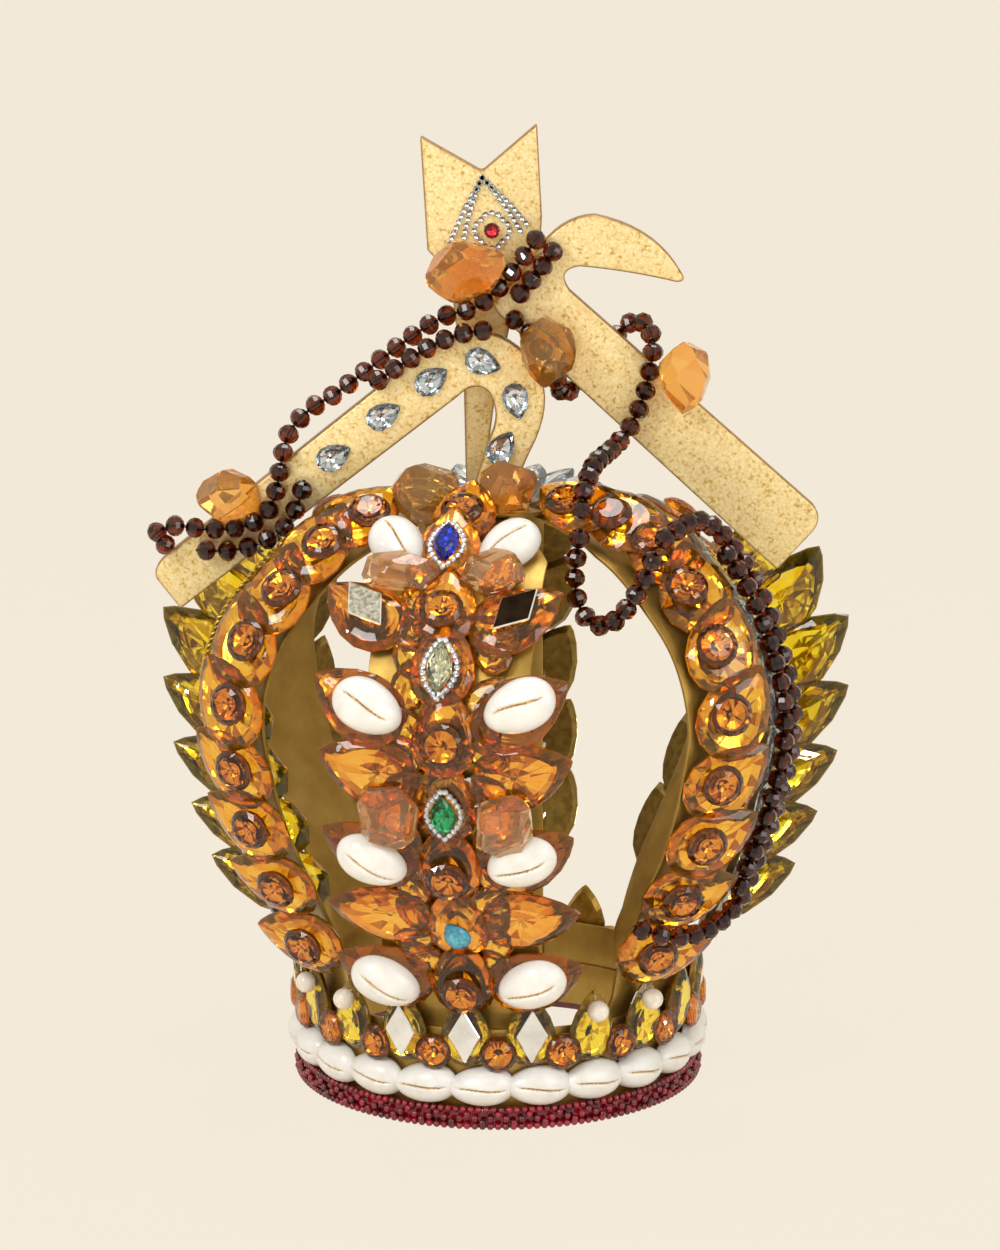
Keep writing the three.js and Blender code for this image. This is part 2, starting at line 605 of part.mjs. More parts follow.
// Marquise stones with their rims, on the column's teardrops.
const columnTop = columnLeaf.height + GAP;
const MARQUISE = { height: 5, drop: 4, cut: [[1, 0], [1, 0.35], [0.5, 1]] };
const MARQUISES = {
  marquise_green: { tier: 3, length: 21, width: 15, look: LOOKS.greenGlass },
  marquise_olive: { tier: 5, length: 25, width: 15, look: LOOKS.oliveGlass },
  marquise_blue: { tier: 7, length: 22, width: 15, look: LOOKS.blueGlass },
};
for (const [name, { tier, length, width, look: finish }] of Object.entries(MARQUISES)) {
  const stone = cutStone(marquiseOutline(length, width), MARQUISE.height, MARQUISE.cut, 0);
  add(name, cut(solidOf(onColumn(stone, tier, MARQUISE.drop, columnTop)), columnCutter), finish);
}

// Faceted nuggets wedged between the column and the leaves.
const FRONT_NUGGETS = {
  nugget_lower_left: { s: 113, u: -20, lift: 9.3, size: [21, 24, 13] },
  nugget_lower_right: { s: 111.5, u: 21.5, lift: 9.3, size: [21, 24, 13] },
  nugget_upper_left: { s: 199, u: -22, lift: 6, size: [26, 17, 13] },
  nugget_upper_right: { s: 200, u: 11.5, lift: 6, size: [23, 17, 13] },
};
const SHELL_ROOM = { length: COWRIE.length + 2, width: COWRIE.width + 2, height: COWRIE.height + 0.6 };
const leafCutters = [-1, 1].flatMap((side) => LEAF_TIERS.map((_, k) => frontLeaf(k, side, GAP)));
const shellPlaces = [
  ...[-1, 1].flatMap((side) => SHELL_TIERS.map((tier) => leafShellPlace(side, tier))),
  ...Object.values(TOP_SHELLS),
];
const shellCutters = shellPlaces.map((place) => (
  solidOf(onBand(geometryOf(cowrie(SHELL_ROOM)), FRONT, { ...place, lift: place.lift - GAP }))
));
const frontTools = [columnCutter, ...leafCutters, bandCutters[FRONT], ...shellCutters];
for (const [name, { size, ...place }] of Object.entries(FRONT_NUGGETS)) {
  const nugget = onBand(nuggetGeometry(...size), FRONT, place);
  add(name, cut(solidOf(nugget), ...frontTools), LOOKS.peach);
}

// Teardrops with a round stone on each, along the two side bands, turned towards the front.
const AMBER_ROWS = {
  amber_row_right: {
    band: "arch_right_front", side: 1, clear: { u: 25, lift: 0.2 },
    places: [
      [47, -12], [73, -11.5], [96, -10], [119, -9], [141, -7], [162, -6], [183, -4], [203, -3],
      [219, -6], [233, -13],
    ],
  },
  amber_row_left: {
    band: "arch_left_front", side: -1, clear: { u: 22, lift: -3 },
    places: [
      [47, 12.5], [74, 13.5], [98, 13], [120, 12], [141, 12.5], [161, 12.5], [180, 13.5], [201, 12],
      [219, 12],
    ],
  },
};
const ROW_LEAF = { length: 38, width: 28, height: 6 };
const ROW = { turn: 28, leafAside: 7, leafLift: 6.6, stoneLift: 9.1, firstRise: 22, risePerMm: 0.33 };

// Each place is a round stone's s and u. Its teardrop lies under it, further out, and the teardrops'
// tips turn from sideways at the ring towards the hub.
function amberRow({ band, side, places }, grow) {
  const gems = places.map(([s, u]) => {
    const rise = ROW.firstRise + ROW.risePerMm * (s - places[0][0]);
    const stonePlace = {
      s, u, lift: ROW.stoneLift, turn: -side * ROW.turn, tipAngle: side > 0 ? rise : 180 - rise,
    };
    const leafPlace = { ...stonePlace, u: u + side * ROW.leafAside, lift: ROW.leafLift };
    const leaf = solidOf(onBand(leafGem(grow, 8, PLAIN_CUT, ROW_LEAF), band, leafPlace));
    return leaf.add(solidOf(onBand(roundGem(grow, PLAIN_CUT, STONE, 6), band, stonePlace)));
  });
  return fuse(gems);
}
const rowCutters = {};
for (const [name, row] of Object.entries(AMBER_ROWS)) {
  const tools = [ringGemCutter, bandCutters[row.band], hubCutter, ...strandCutters];
  add(name, cut(amberRow(row, 0), ...tools), LOOKS.amber);
  rowCutters[name] = amberRow(row, GAP);
}

// The disc on which the bands meet carries the two amber nuggets that stand behind the column's top.
// Each one's middle is x, y, z, and its size follows.
const HUB_NUGGETS = [[-27, -24, 227, 27, 22, 22], [3, -24, 229, 22, 20, 23]];
const nuggetTools = [columnCutter, ...shellCutters, ...Object.values(rowCutters), ...topTools];
const hubNuggets = HUB_NUGGETS.map(([x, y, z, wide, deep, high]) => (
  cut(solidOf(nuggetGeometry(wide, deep, high).translate(x, y, z)), ...nuggetTools)
));
add("hub_plate", fuse([hubDisc(0), ...hubNuggets]), LOOKS.band);

// Silver-backed clear teardrops on the far edges of the same bands.
const CLEAR_PLACES = [58, 80, 102, 124, 146, 168, 189, 208];
const CLEAR = { turn: 34, rise: 30 };
for (const [name, under] of [["clear_row_right", "amber_row_right"],
  ["clear_row_left", "amber_row_left"]]) {
  const { band, side, clear } = AMBER_ROWS[under];
  const tipAngle = side > 0 ? CLEAR.rise : 180 - CLEAR.rise;
  const gems = CLEAR_PLACES.map((s) => solidOf(onBand(
    leafGem(0, 6, PLAIN_CUT, ROW_LEAF), band,
    { s, u: side * clear.u, lift: clear.lift, turn: side * CLEAR.turn, tipAngle },
  )));
  const tools = [rowCutters[under], ringGemCutter, bandCutters[band], ...strandCutters, boardCutter];
  add(name, cut(fuse(gems), ...tools), LOOKS.clear);
}

// Yellow teardrops that stand out from the near edges of the two back side bands.
const YELLOW_LEAF = { length: 48, width: 30, height: 6 };
const YELLOW_PLACES = [50, 72, 94, 116, 138, 160, 181];
const YELLOW = { u: 28.6, lift: 11.2, turn: 135, rise: 40 };
for (const [name, band, side] of [["yellow_row_right", "arch_right_back", -1],
  ["yellow_row_left", "arch_left_back", 1]]) {
  const tipAngle = side < 0 ? YELLOW.rise : 180 - YELLOW.rise;
  const gems = YELLOW_PLACES.map((s) => solidOf(onBand(
    leafGem(0, 6, PLAIN_CUT, YELLOW_LEAF), band,
    { s, u: side * YELLOW.u, lift: YELLOW.lift, turn: side * YELLOW.turn, tipAngle },
  )));
  add(name, cut(fuse(gems), ringGemCutter, bandCutters[band], boardCutter, ...strandCutters),
    LOOKS.yellow);
}

// The back bands: a column of round stones on teardrops, with teardrops out to the sides.
const BACK_PLACES = [60, 89, 118, 147, 175, 203];
const BACK_SIDE = { top: 190, u: 20, rise: 60 };
const BACK_SIDES = { arch_right_back: [1], arch_back: [-1, 1], arch_left_back: [-1] };
for (const [band, sides] of Object.entries(BACK_SIDES)) {
  const gems = [];
  for (const s of BACK_PLACES) {
    gems.push(solidOf(onBand(leafGem(0, 6, PLAIN_CUT, columnLeaf), band, { s, lift: 0.5 })));
    const stone = roundGem(0, PLAIN_CUT, STONE, 6);
    const stonePlace = { s: s - COLUMN_STONE_DROP, lift: columnLeaf.height };
    gems.push(solidOf(onBand(stone, band, stonePlace)));
    if (s > BACK_SIDE.top) continue;
    for (const side of sides) {
      const tipAngle = side > 0 ? BACK_SIDE.rise : 180 - BACK_SIDE.rise;
      const place = { s, u: side * BACK_SIDE.u, lift: 0.5, tipAngle };
      gems.push(solidOf(onBand(leafGem(0, 6, PLAIN_CUT), band, place)));
    }
  }
  add(band.replace("arch_", "") + "_gems", cut(fuse(gems), ringGemCutter, bandCutters[band],
    hubCutter), LOOKS.yellow);
}

export default crown;
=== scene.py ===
# %% [markdown]
# # An orisha crown, dressed for its portrait
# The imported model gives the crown's bands, ring, stones, shells and boards at their real sizes.
# Here each of them gets the cut, the grain and the gloss that a maker would see up close. The
# photograph was taken from a little above, straight at the wide front band.

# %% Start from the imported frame
import bisect
import math
import random

import bpy
from mathutils import Matrix, Vector


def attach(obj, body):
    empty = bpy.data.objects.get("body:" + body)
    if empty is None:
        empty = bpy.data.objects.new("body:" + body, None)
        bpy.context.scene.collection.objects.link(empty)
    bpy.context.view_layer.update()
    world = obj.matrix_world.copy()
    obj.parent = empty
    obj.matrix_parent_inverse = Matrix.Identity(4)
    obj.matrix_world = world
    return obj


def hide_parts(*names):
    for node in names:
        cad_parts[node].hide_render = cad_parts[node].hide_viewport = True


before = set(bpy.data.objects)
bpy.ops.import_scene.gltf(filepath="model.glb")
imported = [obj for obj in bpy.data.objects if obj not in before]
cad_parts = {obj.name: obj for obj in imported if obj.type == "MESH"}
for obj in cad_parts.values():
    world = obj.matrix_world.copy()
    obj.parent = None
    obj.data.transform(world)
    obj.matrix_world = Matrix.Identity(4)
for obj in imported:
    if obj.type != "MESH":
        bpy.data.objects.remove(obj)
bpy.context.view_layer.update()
MM = 0.001
print("nodes", len(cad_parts))

# %% [markdown]
# ## Camera
# A long lens from a metre and a half away keeps the ring's ellipse flat, as it is in the
# photograph. The aim point is about half way up the crown.

# %% Camera
AIM = Vector((0.68, 0, 172.7)) * MM
DISTANCE = 1500 * MM
ELEVATION = math.radians(12.5)

camera_data = bpy.data.cameras.new("portrait_camera")
camera_data.sensor_width = 36
camera_data.lens = 114.9
camera_data.clip_start = 0.05
camera = bpy.data.objects.new("portrait_camera", camera_data)
bpy.context.scene.collection.objects.link(camera)
view_from = Vector((0, -math.cos(ELEVATION), math.sin(ELEVATION)))
camera.location = AIM + view_from * DISTANCE
camera.rotation_euler = (math.pi / 2 - ELEVATION, 0, 0)
bpy.context.scene.camera = camera
print("camera at", [round(v, 3) for v in camera.location])

# %% [markdown]
# ## Colours and material nodes
# Colours are written as the hex values that a picture editor shows, and one function turns them
# into the linear numbers that the renderer uses. One more function adds a node with its settings
# and links, so a material reads as a list of steps.

# %% Colour and node helpers


def linear(hex_colour):
    """An sRGB hex value as linear red, green, blue and alpha."""
    channels = [int(hex_colour[i:i + 2], 16) / 255 for i in (1, 3, 5)]
    return [c / 12.92 if c <= 0.04045 else ((c + 0.055) / 1.055) ** 2.4 for c in channels] + [1]


def add_node(tree, kind, settings=None, **inputs):
    """Adds a node. An input is a number, a colour, another node's output, or another node,
    which stands for its first output."""
    made = tree.nodes.new("ShaderNode" + kind)
    for key, value in (settings or {}).items():
        setattr(made, key, value)
    for key, value in inputs.items():
        socket = made.inputs[int(key[1:])] if key[0] == "_" else made.inputs[key.replace("_", " ")]
        if isinstance(value, bpy.types.Node):
            value = value.outputs[0]
        if isinstance(value, bpy.types.NodeSocket):
            tree.links.new(value, socket)
        else:
            socket.default_value = value
    return made


def new_material(name):
    """A new material and its node tree, still empty."""
    material = bpy.data.materials.new(name)
    material.use_nodes = True
    tree = material.node_tree
    tree.nodes.clear()
    return material, tree


MULTIPLY = {"data_type": "RGBA", "blend_type": "MULTIPLY"}


def finish_with(material, shader):
    """Gives the material an output, joined to the shader, and hands the material back."""
    add_node(material.node_tree, "OutputMaterial", Surface=shader)
    return material


def set_ramp(ramp, stops):
    """Fills a colour ramp from pairs of a place and a hex colour."""
    elements = ramp.color_ramp.elements
    while len(elements) > 1:
        elements.remove(elements[-1])
    elements[0].position, elements[0].color = stops[0][0], linear(stops[0][1])
    for place, colour in stops[1:]:
        elements.new(place).color = linear(colour)


# %% [markdown]
# ## Foil-backed cut glass
# The stones are pressed glass, cut above and lacquered with a metal foil below. Light enters
# through the crown, bounces between the foil facets and leaves again, and each pass through the
# coloured glass takes away some more blue and green. That is where the dark brown and the glowing
# orange patches come from, so the stones are made as they are: a glass crown, a foil pavilion and
# a thin metal cup. Pressed glass is a little wavy, and the foil a little wrinkled. Every facet has
# a tone of its own, kept in the mesh as the attribute "tone". The attribute "edge" is 1 at the
# girdle and 0 away from it, and there the glass and foil colours are darkened: painted shade for
# the dark border of a cut stone.

# %% Glass, foil and cup
GLASS, FOIL, CUP = 0, 1, 2
RIM_HAZE = 0.15
WRINKLE_MM = 5.0


def facet_colour(tree, stops, rim=None):
    """Each facet's colour by its tone, darkened near the girdle as painted shade, and the share of
    the girdle.
    """
    tone = add_node(tree, "Attribute", {"attribute_name": "tone"})
    ramp = add_node(tree, "ValToRGB", _0=tone.outputs["Fac"])
    set_ramp(ramp, stops)
    edge = add_node(tree, "Attribute", {"attribute_name": "edge"}).outputs["Fac"]
    # Near the girdle the colour is multiplied by the rim colour, or by itself: painted shade.
    girdle_shaded = add_node(tree, "Mix", MULTIPLY, _0=edge, _6=ramp, _7=linear(rim) if rim else ramp)
    return girdle_shaded.outputs[2], edge


def pressed_glass(name, dark, light, wave_mm=6.0, clear=1.0):
    """Coloured glass, a little wavy, with small differences from facet to facet. It is least
    clear at the rim, where the grinding leaves a haze; its colour is deepened there as painted
    shade."""
    material, tree = new_material(name)
    place = add_node(tree, "TexCoord")
    wavy = add_node(tree, "TexNoise", Vector=place.outputs["Object"], Scale=1 / (wave_mm * MM),
                    Detail=1.0)
    bump = add_node(tree, "Bump", Height=wavy, Strength=0.1, Distance=1.0 * MM)
    colour, edge = facet_colour(tree, [(0, dark), (1, light)])
    haze = add_node(tree, "MapRange", _0=edge, To_Min=clear, To_Max=clear - RIM_HAZE)
    shader = add_node(tree, "BsdfPrincipled", Base_Color=colour, Roughness=0.015, IOR=1.52,
                      Transmission_Weight=haze, Normal=bump)
    return finish_with(material, shader)


def foil_backing(name, dark, middle, light, rim):
    """Lacquered metal foil behind a stone, wrinkled at the scale of a few millimetres. A few
    facets are dull and dark. At the stone's edge the rim colour darkens it: painted shade."""
    material, tree = new_material(name)
    place = add_node(tree, "TexCoord")
    crease = add_node(tree, "TexVoronoi", {"feature": "F1"},
                      Vector=place.outputs["Object"], Scale=1 / (WRINKLE_MM * MM))
    bump = add_node(tree, "Bump", Height=crease, Strength=0.09, Distance=1.0 * MM)
    colour, _ = facet_colour(tree, [(0.08, dark), (0.34, middle), (0.85, light)], rim)
    shader = add_node(tree, "BsdfPrincipled", Base_Color=colour, Metallic=1.0, Roughness=0.08,
                      Normal=bump)
    return finish_with(material, shader)


def drifting(name, dark, light, grain_mm, detail=3.0, spread=0.2, **surface):
    """A surface whose colour drifts between two tones over a few millimetres."""
    material, tree = new_material(name)
    place = add_node(tree, "TexCoord")
    drift = add_node(tree, "TexNoise", Vector=place.outputs["Object"], Scale=1 / (grain_mm * MM),
                     Detail=detail)
    ramp = add_node(tree, "ValToRGB", _0=drift)
    set_ramp(ramp, [(0.5 - spread, dark), (0.5 + spread, light)])
    return finish_with(material, add_node(tree, "BsdfPrincipled", Base_Color=ramp, **surface))


def plain_metal(name, dark, light, grain_mm, roughness):
    return drifting(name, dark, light, grain_mm, Metallic=0.9, Roughness=roughness)


gold_cup = plain_metal("gold-plated cup, stamped", "#8A6C28", "#C09A48", 3, 0.3)
dull_cup = plain_metal("brass cup, tarnished", "#6E5822", "#94783A", 3, 0.38)
silver_cup = plain_metal("silver-plated cup, stamped", "#CCCCC8", "#F0EEE8", 3, 0.2)
# The last colour of each foil is its rim colour, painted shade at the stone's girdle.
gold_foil = foil_backing("gold foil, lacquered", "#B87C38", "#FFECC4", "#FFFAEC", "#F8DCB0")
pale_foil = foil_backing("pale gold foil, lacquered", "#C8A850", "#FFFAE0", "#FFFFFF", "#F8ECB8")
silver_foil = foil_backing("silver foil, lacquered", "#8C98A0", "#DCE4E8", "#FFFFFF", "#C4CED4")
copper_foil = foil_backing("copper foil, lacquered", "#8A4018", "#FFD8A0", "#FFF0D0", "#401408")
bright_foil = foil_backing("silver foil, bright", "#D8E0E4", "#F4F8FA", "#FFFFFF", "#FFFFFF")


def cut_glass(name, dark, light, foil, cup, clear=1.0):
    """What a stone is made of: its glass, its foil and its cup."""
    return pressed_glass(name, dark, light, clear=clear), foil, cup


amber_stone = cut_glass("amber glass, pressed", "#FFB030", "#FFCE58", gold_foil, gold_cup, 0.97)
honey_stone = cut_glass("honey glass, pressed", "#FFC02C", "#FFDA54", gold_foil, gold_cup, 0.97)
yellow_stone = cut_glass("yellow glass, pressed", "#FFDC24", "#FFF050", pale_foil, gold_cup)
back_stone = (yellow_stone[GLASS], pale_foil, dull_cup)
topaz_stone = cut_glass("topaz glass, pressed", "#E89A38", "#FFB83C", copper_foil, gold_cup)
clear_stone = cut_glass("clear glass, pressed", "#E6EEF6", "#FFFFFF", silver_foil, silver_cup)
rhinestone = (clear_stone[GLASS], bright_foil, silver_cup)
blue_stone = cut_glass("blue glass, cut", "#0820B0", "#2448F0", silver_foil, silver_cup)
green_stone = cut_glass("green glass, cut", "#10A058", "#34D084", silver_foil, silver_cup)
olive_stone = cut_glass("citrine glass, cut", "#ECE4A8", "#FFFBE0", silver_foil, silver_cup)
turquoise_stone = cut_glass("turquoise glass, cut", "#50C8EC", "#88E8FC", silver_foil, silver_cup,
                            0.7)
red_stone = cut_glass("red glass, cut", "#E01020", "#FF4050", silver_foil, silver_cup)
amber_chunk = pressed_glass("amber acrylic, tumbled and polished", "#FFB048", "#FFCC74", 9, 0.85)
peach_chunk = pressed_glass("peach acrylic, tumbled and polished", "#FFC080", "#FFDCAC", 9, 0.88)
dark_bead = pressed_glass("dark amber glass, fire polished", "#4A1806", "#84340E", 5)
print("glasses made")

# %% [markdown]
# ## Metals
# The bands are thin brass-coloured sheet, rolled and then lacquered: satin, a little streaked
# along and with cloudy darker places where hands have dulled it. The boards are covered with a
# gold-coloured skin that was pressed with a leather grain about a millimetre and a half wide, and
# it is painted darker along the edges as shade on their rounding.

# %% Brass sheet and gilded boards


def brass_sheet():
    material, tree = new_material("brass sheet, rolled and lacquered")
    place = add_node(tree, "TexCoord")
    cloud = add_node(tree, "TexNoise", Vector=place.outputs["Object"], Scale=1 / (30 * MM),
                     Detail=4.0, Roughness=0.6)
    ramp = add_node(tree, "ValToRGB", _0=cloud)
    set_ramp(ramp, [(0.25, "#86692A"), (0.5, "#AE8C42"), (0.75, "#C6A65C")])
    streaks = add_node(tree, "Mapping", _0=place.outputs["Object"], Scale=(1, 1, 0.06))
    scratch = add_node(tree, "TexNoise", Vector=streaks, Scale=1 / (1.1 * MM), Detail=2.0)
    gloss = add_node(tree, "MapRange", _0=scratch, To_Min=0.3, To_Max=0.5)
    bump = add_node(tree, "Bump", Height=scratch, Strength=0.12, Distance=0.1 * MM)
    shader = add_node(tree, "BsdfPrincipled", Base_Color=ramp, Metallic=0.75,
                      Roughness=gloss, Normal=bump)
    return finish_with(material, shader)


def gilded_skin():
    material, tree = new_material("gold foil skin, pressed with a leather grain")
    place = add_node(tree, "TexCoord")
    grain = add_node(tree, "TexVoronoi", {"feature": "SMOOTH_F1"},
                     Vector=place.outputs["Object"], Scale=1 / (1.3 * MM), Smoothness=0.35)
    fine = add_node(tree, "TexNoise", Vector=place.outputs["Object"], Scale=1 / (1.8 * MM),
                    Detail=4.0, Distortion=1.2)
    height = add_node(tree, "Math", {"operation": "MULTIPLY_ADD"}, _0=grain,
                      _1=-0.35, _2=fine)
    ramp = add_node(tree, "ValToRGB", _0=height)
    set_ramp(ramp, [(0.08, "#C6A050"), (0.22, "#F2D48C"), (0.55, "#FFEEBC")])
    # Painted shade: the skin is darkened on the sawn, rounded edges.
    edge_shade_mask = add_node(tree, "Attribute", {"attribute_name": "rim"})
    edge_shaded = add_node(tree, "Mix", MULTIPLY,
                    _0=edge_shade_mask.outputs["Fac"], _6=ramp, _7=linear("#A08048"))
    bump = add_node(tree, "Bump", Height=height, Strength=0.3, Distance=0.4 * MM)
    shader = add_node(tree, "BsdfPrincipled", Base_Color=edge_shaded.outputs[2], Metallic=0.25,
                      Roughness=0.36, Normal=bump)
    return finish_with(material, shader)


brass = brass_sheet()
gilding = gilded_skin()
silver_edge = plain_metal("mirror glass, cut and polished edge", "#E8E8E4", "#FFFFFF", 5, 0.15)
mirror = (plain_metal("mirror glass, silvered", "#E2E2DE", "#FFFFFF", 9, 0.06), silver_edge)
grainy_mirror = (plain_metal("mirror glass, silvered and worn", "#8C8C78", "#F0EEE2", 1.6, 0.2),
                 silver_edge)
smoked_mirror = (plain_metal("mirror glass, smoked", "#120C04", "#38281A", 6, 0.08), silver_edge)
gold_wire = plain_metal("gold-plated wire, drawn and braided", "#A87A12", "#F0CE5A", 1.2, 0.28)

# %% [markdown]
# ## Shell, pearl and small beads
# A cowrie is a natural shell: smooth as porcelain, ivory white and tan in the slit. The slit is
# modelled, and its attribute "slit" carries the tan. Pearls are coated glass. The foot's small
# beads are dark red glass.

# %% Shell, pearl and red bead materials


def cowrie_shell():
    material, tree = new_material("cowrie shell, natural")
    place = add_node(tree, "TexCoord")
    cloud = add_node(tree, "TexNoise", Vector=place.outputs["Object"], Scale=1 / (7 * MM),
                     Detail=4.0)
    ramp = add_node(tree, "ValToRGB", _0=cloud)
    set_ramp(ramp, [(0.3, "#EFEBE4"), (0.5, "#F8F6F2"), (0.75, "#FFFEFC")])
    slit = add_node(tree, "Attribute", {"attribute_name": "slit"})
    tan = add_node(tree, "ValToRGB", _0=slit.outputs["Fac"])
    set_ramp(tan, [(0.25, "#FFFFFF"), (0.55, "#EBD0A4"), (0.9, "#B07C3C")])
    colour = add_node(tree, "Mix", MULTIPLY, _0=1.0,
                      _6=ramp, _7=tan)
    shader = add_node(tree, "BsdfPrincipled", Base_Color=colour.outputs[2], Roughness=0.3,
                      Coat_Weight=0.25, Coat_Roughness=0.1, Subsurface_Weight=0.08)
    return finish_with(material, shader)


def coated_bead(name, dark, light, roughness):
    return drifting(name, dark, light, 3.5, 2.0, 0.15, Roughness=roughness, Coat_Weight=0.5,
                    Coat_Roughness=0.05)


shell = cowrie_shell()
pearl_coat = coated_bead("pearl, coated glass", "#EFE3D2", "#FFFAF2", 0.2)
red_bead = coated_bead("red seed beads, pressed glass", "#4A0010", "#A80828", 0.15)

# %% [markdown]
# ## Where things sit
# The stones are seated on the bands and on the ring in the same way as in the solids. A band
# follows a smooth line through a few points of radius and height. "s" is the way up the band in
# millimetres, "u" the way across it, and "lift" the height over its outer face.

# %% The bands' line


class SmoothLine:
    """A centripetal spline through points, read by its share of the length."""

    STEPS = 40

    def __init__(self, points):
        spots = [Vector(p) for p in points]
        spots = [spots[0] * 2 - spots[1], *spots, spots[-1] * 2 - spots[-2]]
        self.spots = []
        for a, b, c, d in zip(spots, spots[1:], spots[2:], spots[3:]):
            self.spots += [self.between(a, b, c, d, k / self.STEPS) for k in range(self.STEPS)]
        self.spots.append(spots[-2])
        self.ways = [0]
        for p, q in zip(self.spots, self.spots[1:]):
            self.ways.append(self.ways[-1] + (q - p).length)
        self.length = self.ways[-1]

    @staticmethod
    def between(a, b, c, d, t):
        ab, bc, cd = [max((q - p).length, 1e-8) ** 0.5 for p, q in ((a, b), (b, c), (c, d))]
        start = ((b - a) / ab - (c - a) / (ab + bc) + (c - b) / bc) * bc
        end = ((c - b) / bc - (d - b) / (bc + cd) + (d - c) / cd) * bc
        return (b + start * t + (c * 3 - b * 3 - start * 2 - end) * t ** 2
                + (b * 2 - c * 2 + start + end) * t ** 3)

    def at(self, share):
        """The point and the direction at a share of the length."""
        way = min(max(share, 0), 1) * self.length
        low = min(bisect.bisect(self.ways, way), len(self.ways) - 1) - 1
        p, q = self.spots[low:low + 2]
        t = (way - self.ways[low]) / max(self.ways[low + 1] - self.ways[low], 1e-9)
        return p.lerp(q, t), (q - p).normalized()


# Radius and height of the middle of the sheet, from the foot to the hub.
PROFILE = [(70, 22), (70, 38), (74.6, 60), (86, 86), (96, 108), (102.5, 131),
           (105.5, 154), (98.5, 177), (84, 194), (68, 207), (48, 215), (24, 218.4)]
BAND_WALL = 1.2
BACK_BULGE, BULGE_LOW, BULGE_HIGH = 6, 38, 218


def band_line(bulge):
    """The profile, moved outwards between two heights by up to the bulge."""
    points = []
    for r, z in PROFILE:
        share = min(max((z - BULGE_LOW) / (BULGE_HIGH - BULGE_LOW), 0), 1)
        points.append((r + bulge * math.sin(math.pi * share), z, 0))
    return SmoothLine(points)


LINES = {0: band_line(0), BACK_BULGE: band_line(BACK_BULGE)}
# Each band is its angle round from the front, half its width and its bulge.
BANDS = {
    "arch_front": (-10, 29, 0), "arch_right_front": (49, 18, 0),
    "arch_right_back": (124, 18, BACK_BULGE), "arch_back": (180, 18, BACK_BULGE),
    "arch_left_back": (-130, 18, BACK_BULGE), "arch_left_front": (-62, 18, 0),
}
UP = Vector((0, 0, 1))


def directions(angle):
    """The ways out from the axis and across, at an angle in degrees round from the front."""
    a = math.radians(angle)
    return Vector((math.sin(a), -math.cos(a), 0)), Vector((math.cos(a), math.sin(a), 0))


def to_side(tip, side):
    """A tip's angle on the right side, or its mirror image on the left."""
    return tip if side > 0 else 180 - tip


def on_band(name, s, u, lift):
    """A point on a band with its normal, its way up and its way across, in millimetres."""
    azimuth, _, bulge = BANDS[name]
    line = LINES[bulge]
    p, slope = line.at(s / line.length)
    out, across = directions(azimuth)
    along = out * slope.x + UP * slope.y
    normal = out * slope.y - UP * slope.x
    point = out * p.x + UP * p.y + across * u + normal * (lift + BAND_WALL / 2)
    return point, normal, along, across


def seat(point, normal, tip):
    """A frame at a point: z along the normal, y as near as it can be to the tip direction."""
    z = normal.normalized()
    y = (tip - z * tip.dot(z)).normalized()
    x = y.cross(z)
    turn = Matrix((x, y, z)).transposed().to_4x4()
    return Matrix.Translation(point * MM) @ turn


def band_seat(name, s, u, lift, turn=0, tip=90, lean=0):
    """The seat of a stone on a band: its face leans down and turns sideways, all in degrees."""
    point, normal, along, across = on_band(name, s, u, lift)
    l, t, a = math.radians(lean), math.radians(turn), math.radians(tip)
    facing = normal * math.cos(l) - along * math.sin(l)
    rising = along * math.cos(l) + normal * math.sin(l)
    face = facing * math.cos(t) + across * math.sin(t)
    side = across * math.cos(t) - facing * math.sin(t)
    return seat(point, face, side * math.cos(a) + rising * math.sin(a))


def ring_seat(angle, radius, z, lean, roll=0):
    """The seat of a stone on the ring, its face out, leaning and rolled by angles."""
    l, r = math.radians(lean), math.radians(roll)
    out, side = directions(angle)
    face = out * math.cos(l) - UP * math.sin(l)
    return seat(out * radius + UP * z, face, UP * math.cos(r) + side * math.sin(r))


print("band length in mm", round(LINES[0].length, 1))

# %% [markdown]
# ## Working with the pieces
# A stone is modelled once, lying flat at the origin, and copied to its places. Each copy gets its
# own mesh and its own facet tones, and the copies of one row are joined into one piece. The last
# helper dresses a finished piece: its material, the body that it moves with and the plain solid
# that it stands for.

# %% Helpers for pieces
MASTERS = []
SMOOTH = 40
bpy.ops.object.select_all(action="DESELECT")


def edit(obj, operator, everything=True, **settings):
    """Runs a mesh operator on all of an object, or only on what is selected in it."""
    bpy.context.view_layer.objects.active = obj
    bpy.ops.object.mode_set(mode="EDIT")
    if everything:
        bpy.ops.mesh.select_all(action="SELECT")
    operator(**settings)
    bpy.ops.object.mode_set(mode="OBJECT")


def finish_mesh(obj, name, angle):
    """Turns the normals outwards, shades flat or smooth up to an angle, and names the piece."""
    edit(obj, bpy.ops.mesh.normals_make_consistent, inside=False)
    bpy.ops.object.select_all(action="DESELECT")
    obj.select_set(True)
    if angle is None:
        bpy.ops.object.shade_flat()
    else:
        bpy.ops.object.shade_smooth_by_angle(angle=math.radians(angle))
    obj.select_set(False)
    obj.name = name
    return obj


def finish_blank(obj, name, angle=None):
    """Finishes a mesh that is only copied, and notes it down to be removed at the end."""
    MASTERS.append(finish_mesh(obj, name, angle))
    return obj


def apply_modifier(obj, kind, **settings):
    """Adds a modifier with its settings and applies it."""
    bpy.context.view_layer.objects.active = obj
    modifier = obj.modifiers.new(kind.title(), kind)
    for key, value in settings.items():
        setattr(modifier, key, value)
    bpy.ops.object.modifier_apply(modifier=modifier.name)


def round_edges(obj, width, segments=2, angle=50):
    """Bevels the edges that are sharper than an angle, by a width in millimetres."""
    apply_modifier(obj, "BEVEL", width=width * MM, segments=segments, limit_method="ANGLE",
                   angle_limit=math.radians(angle))


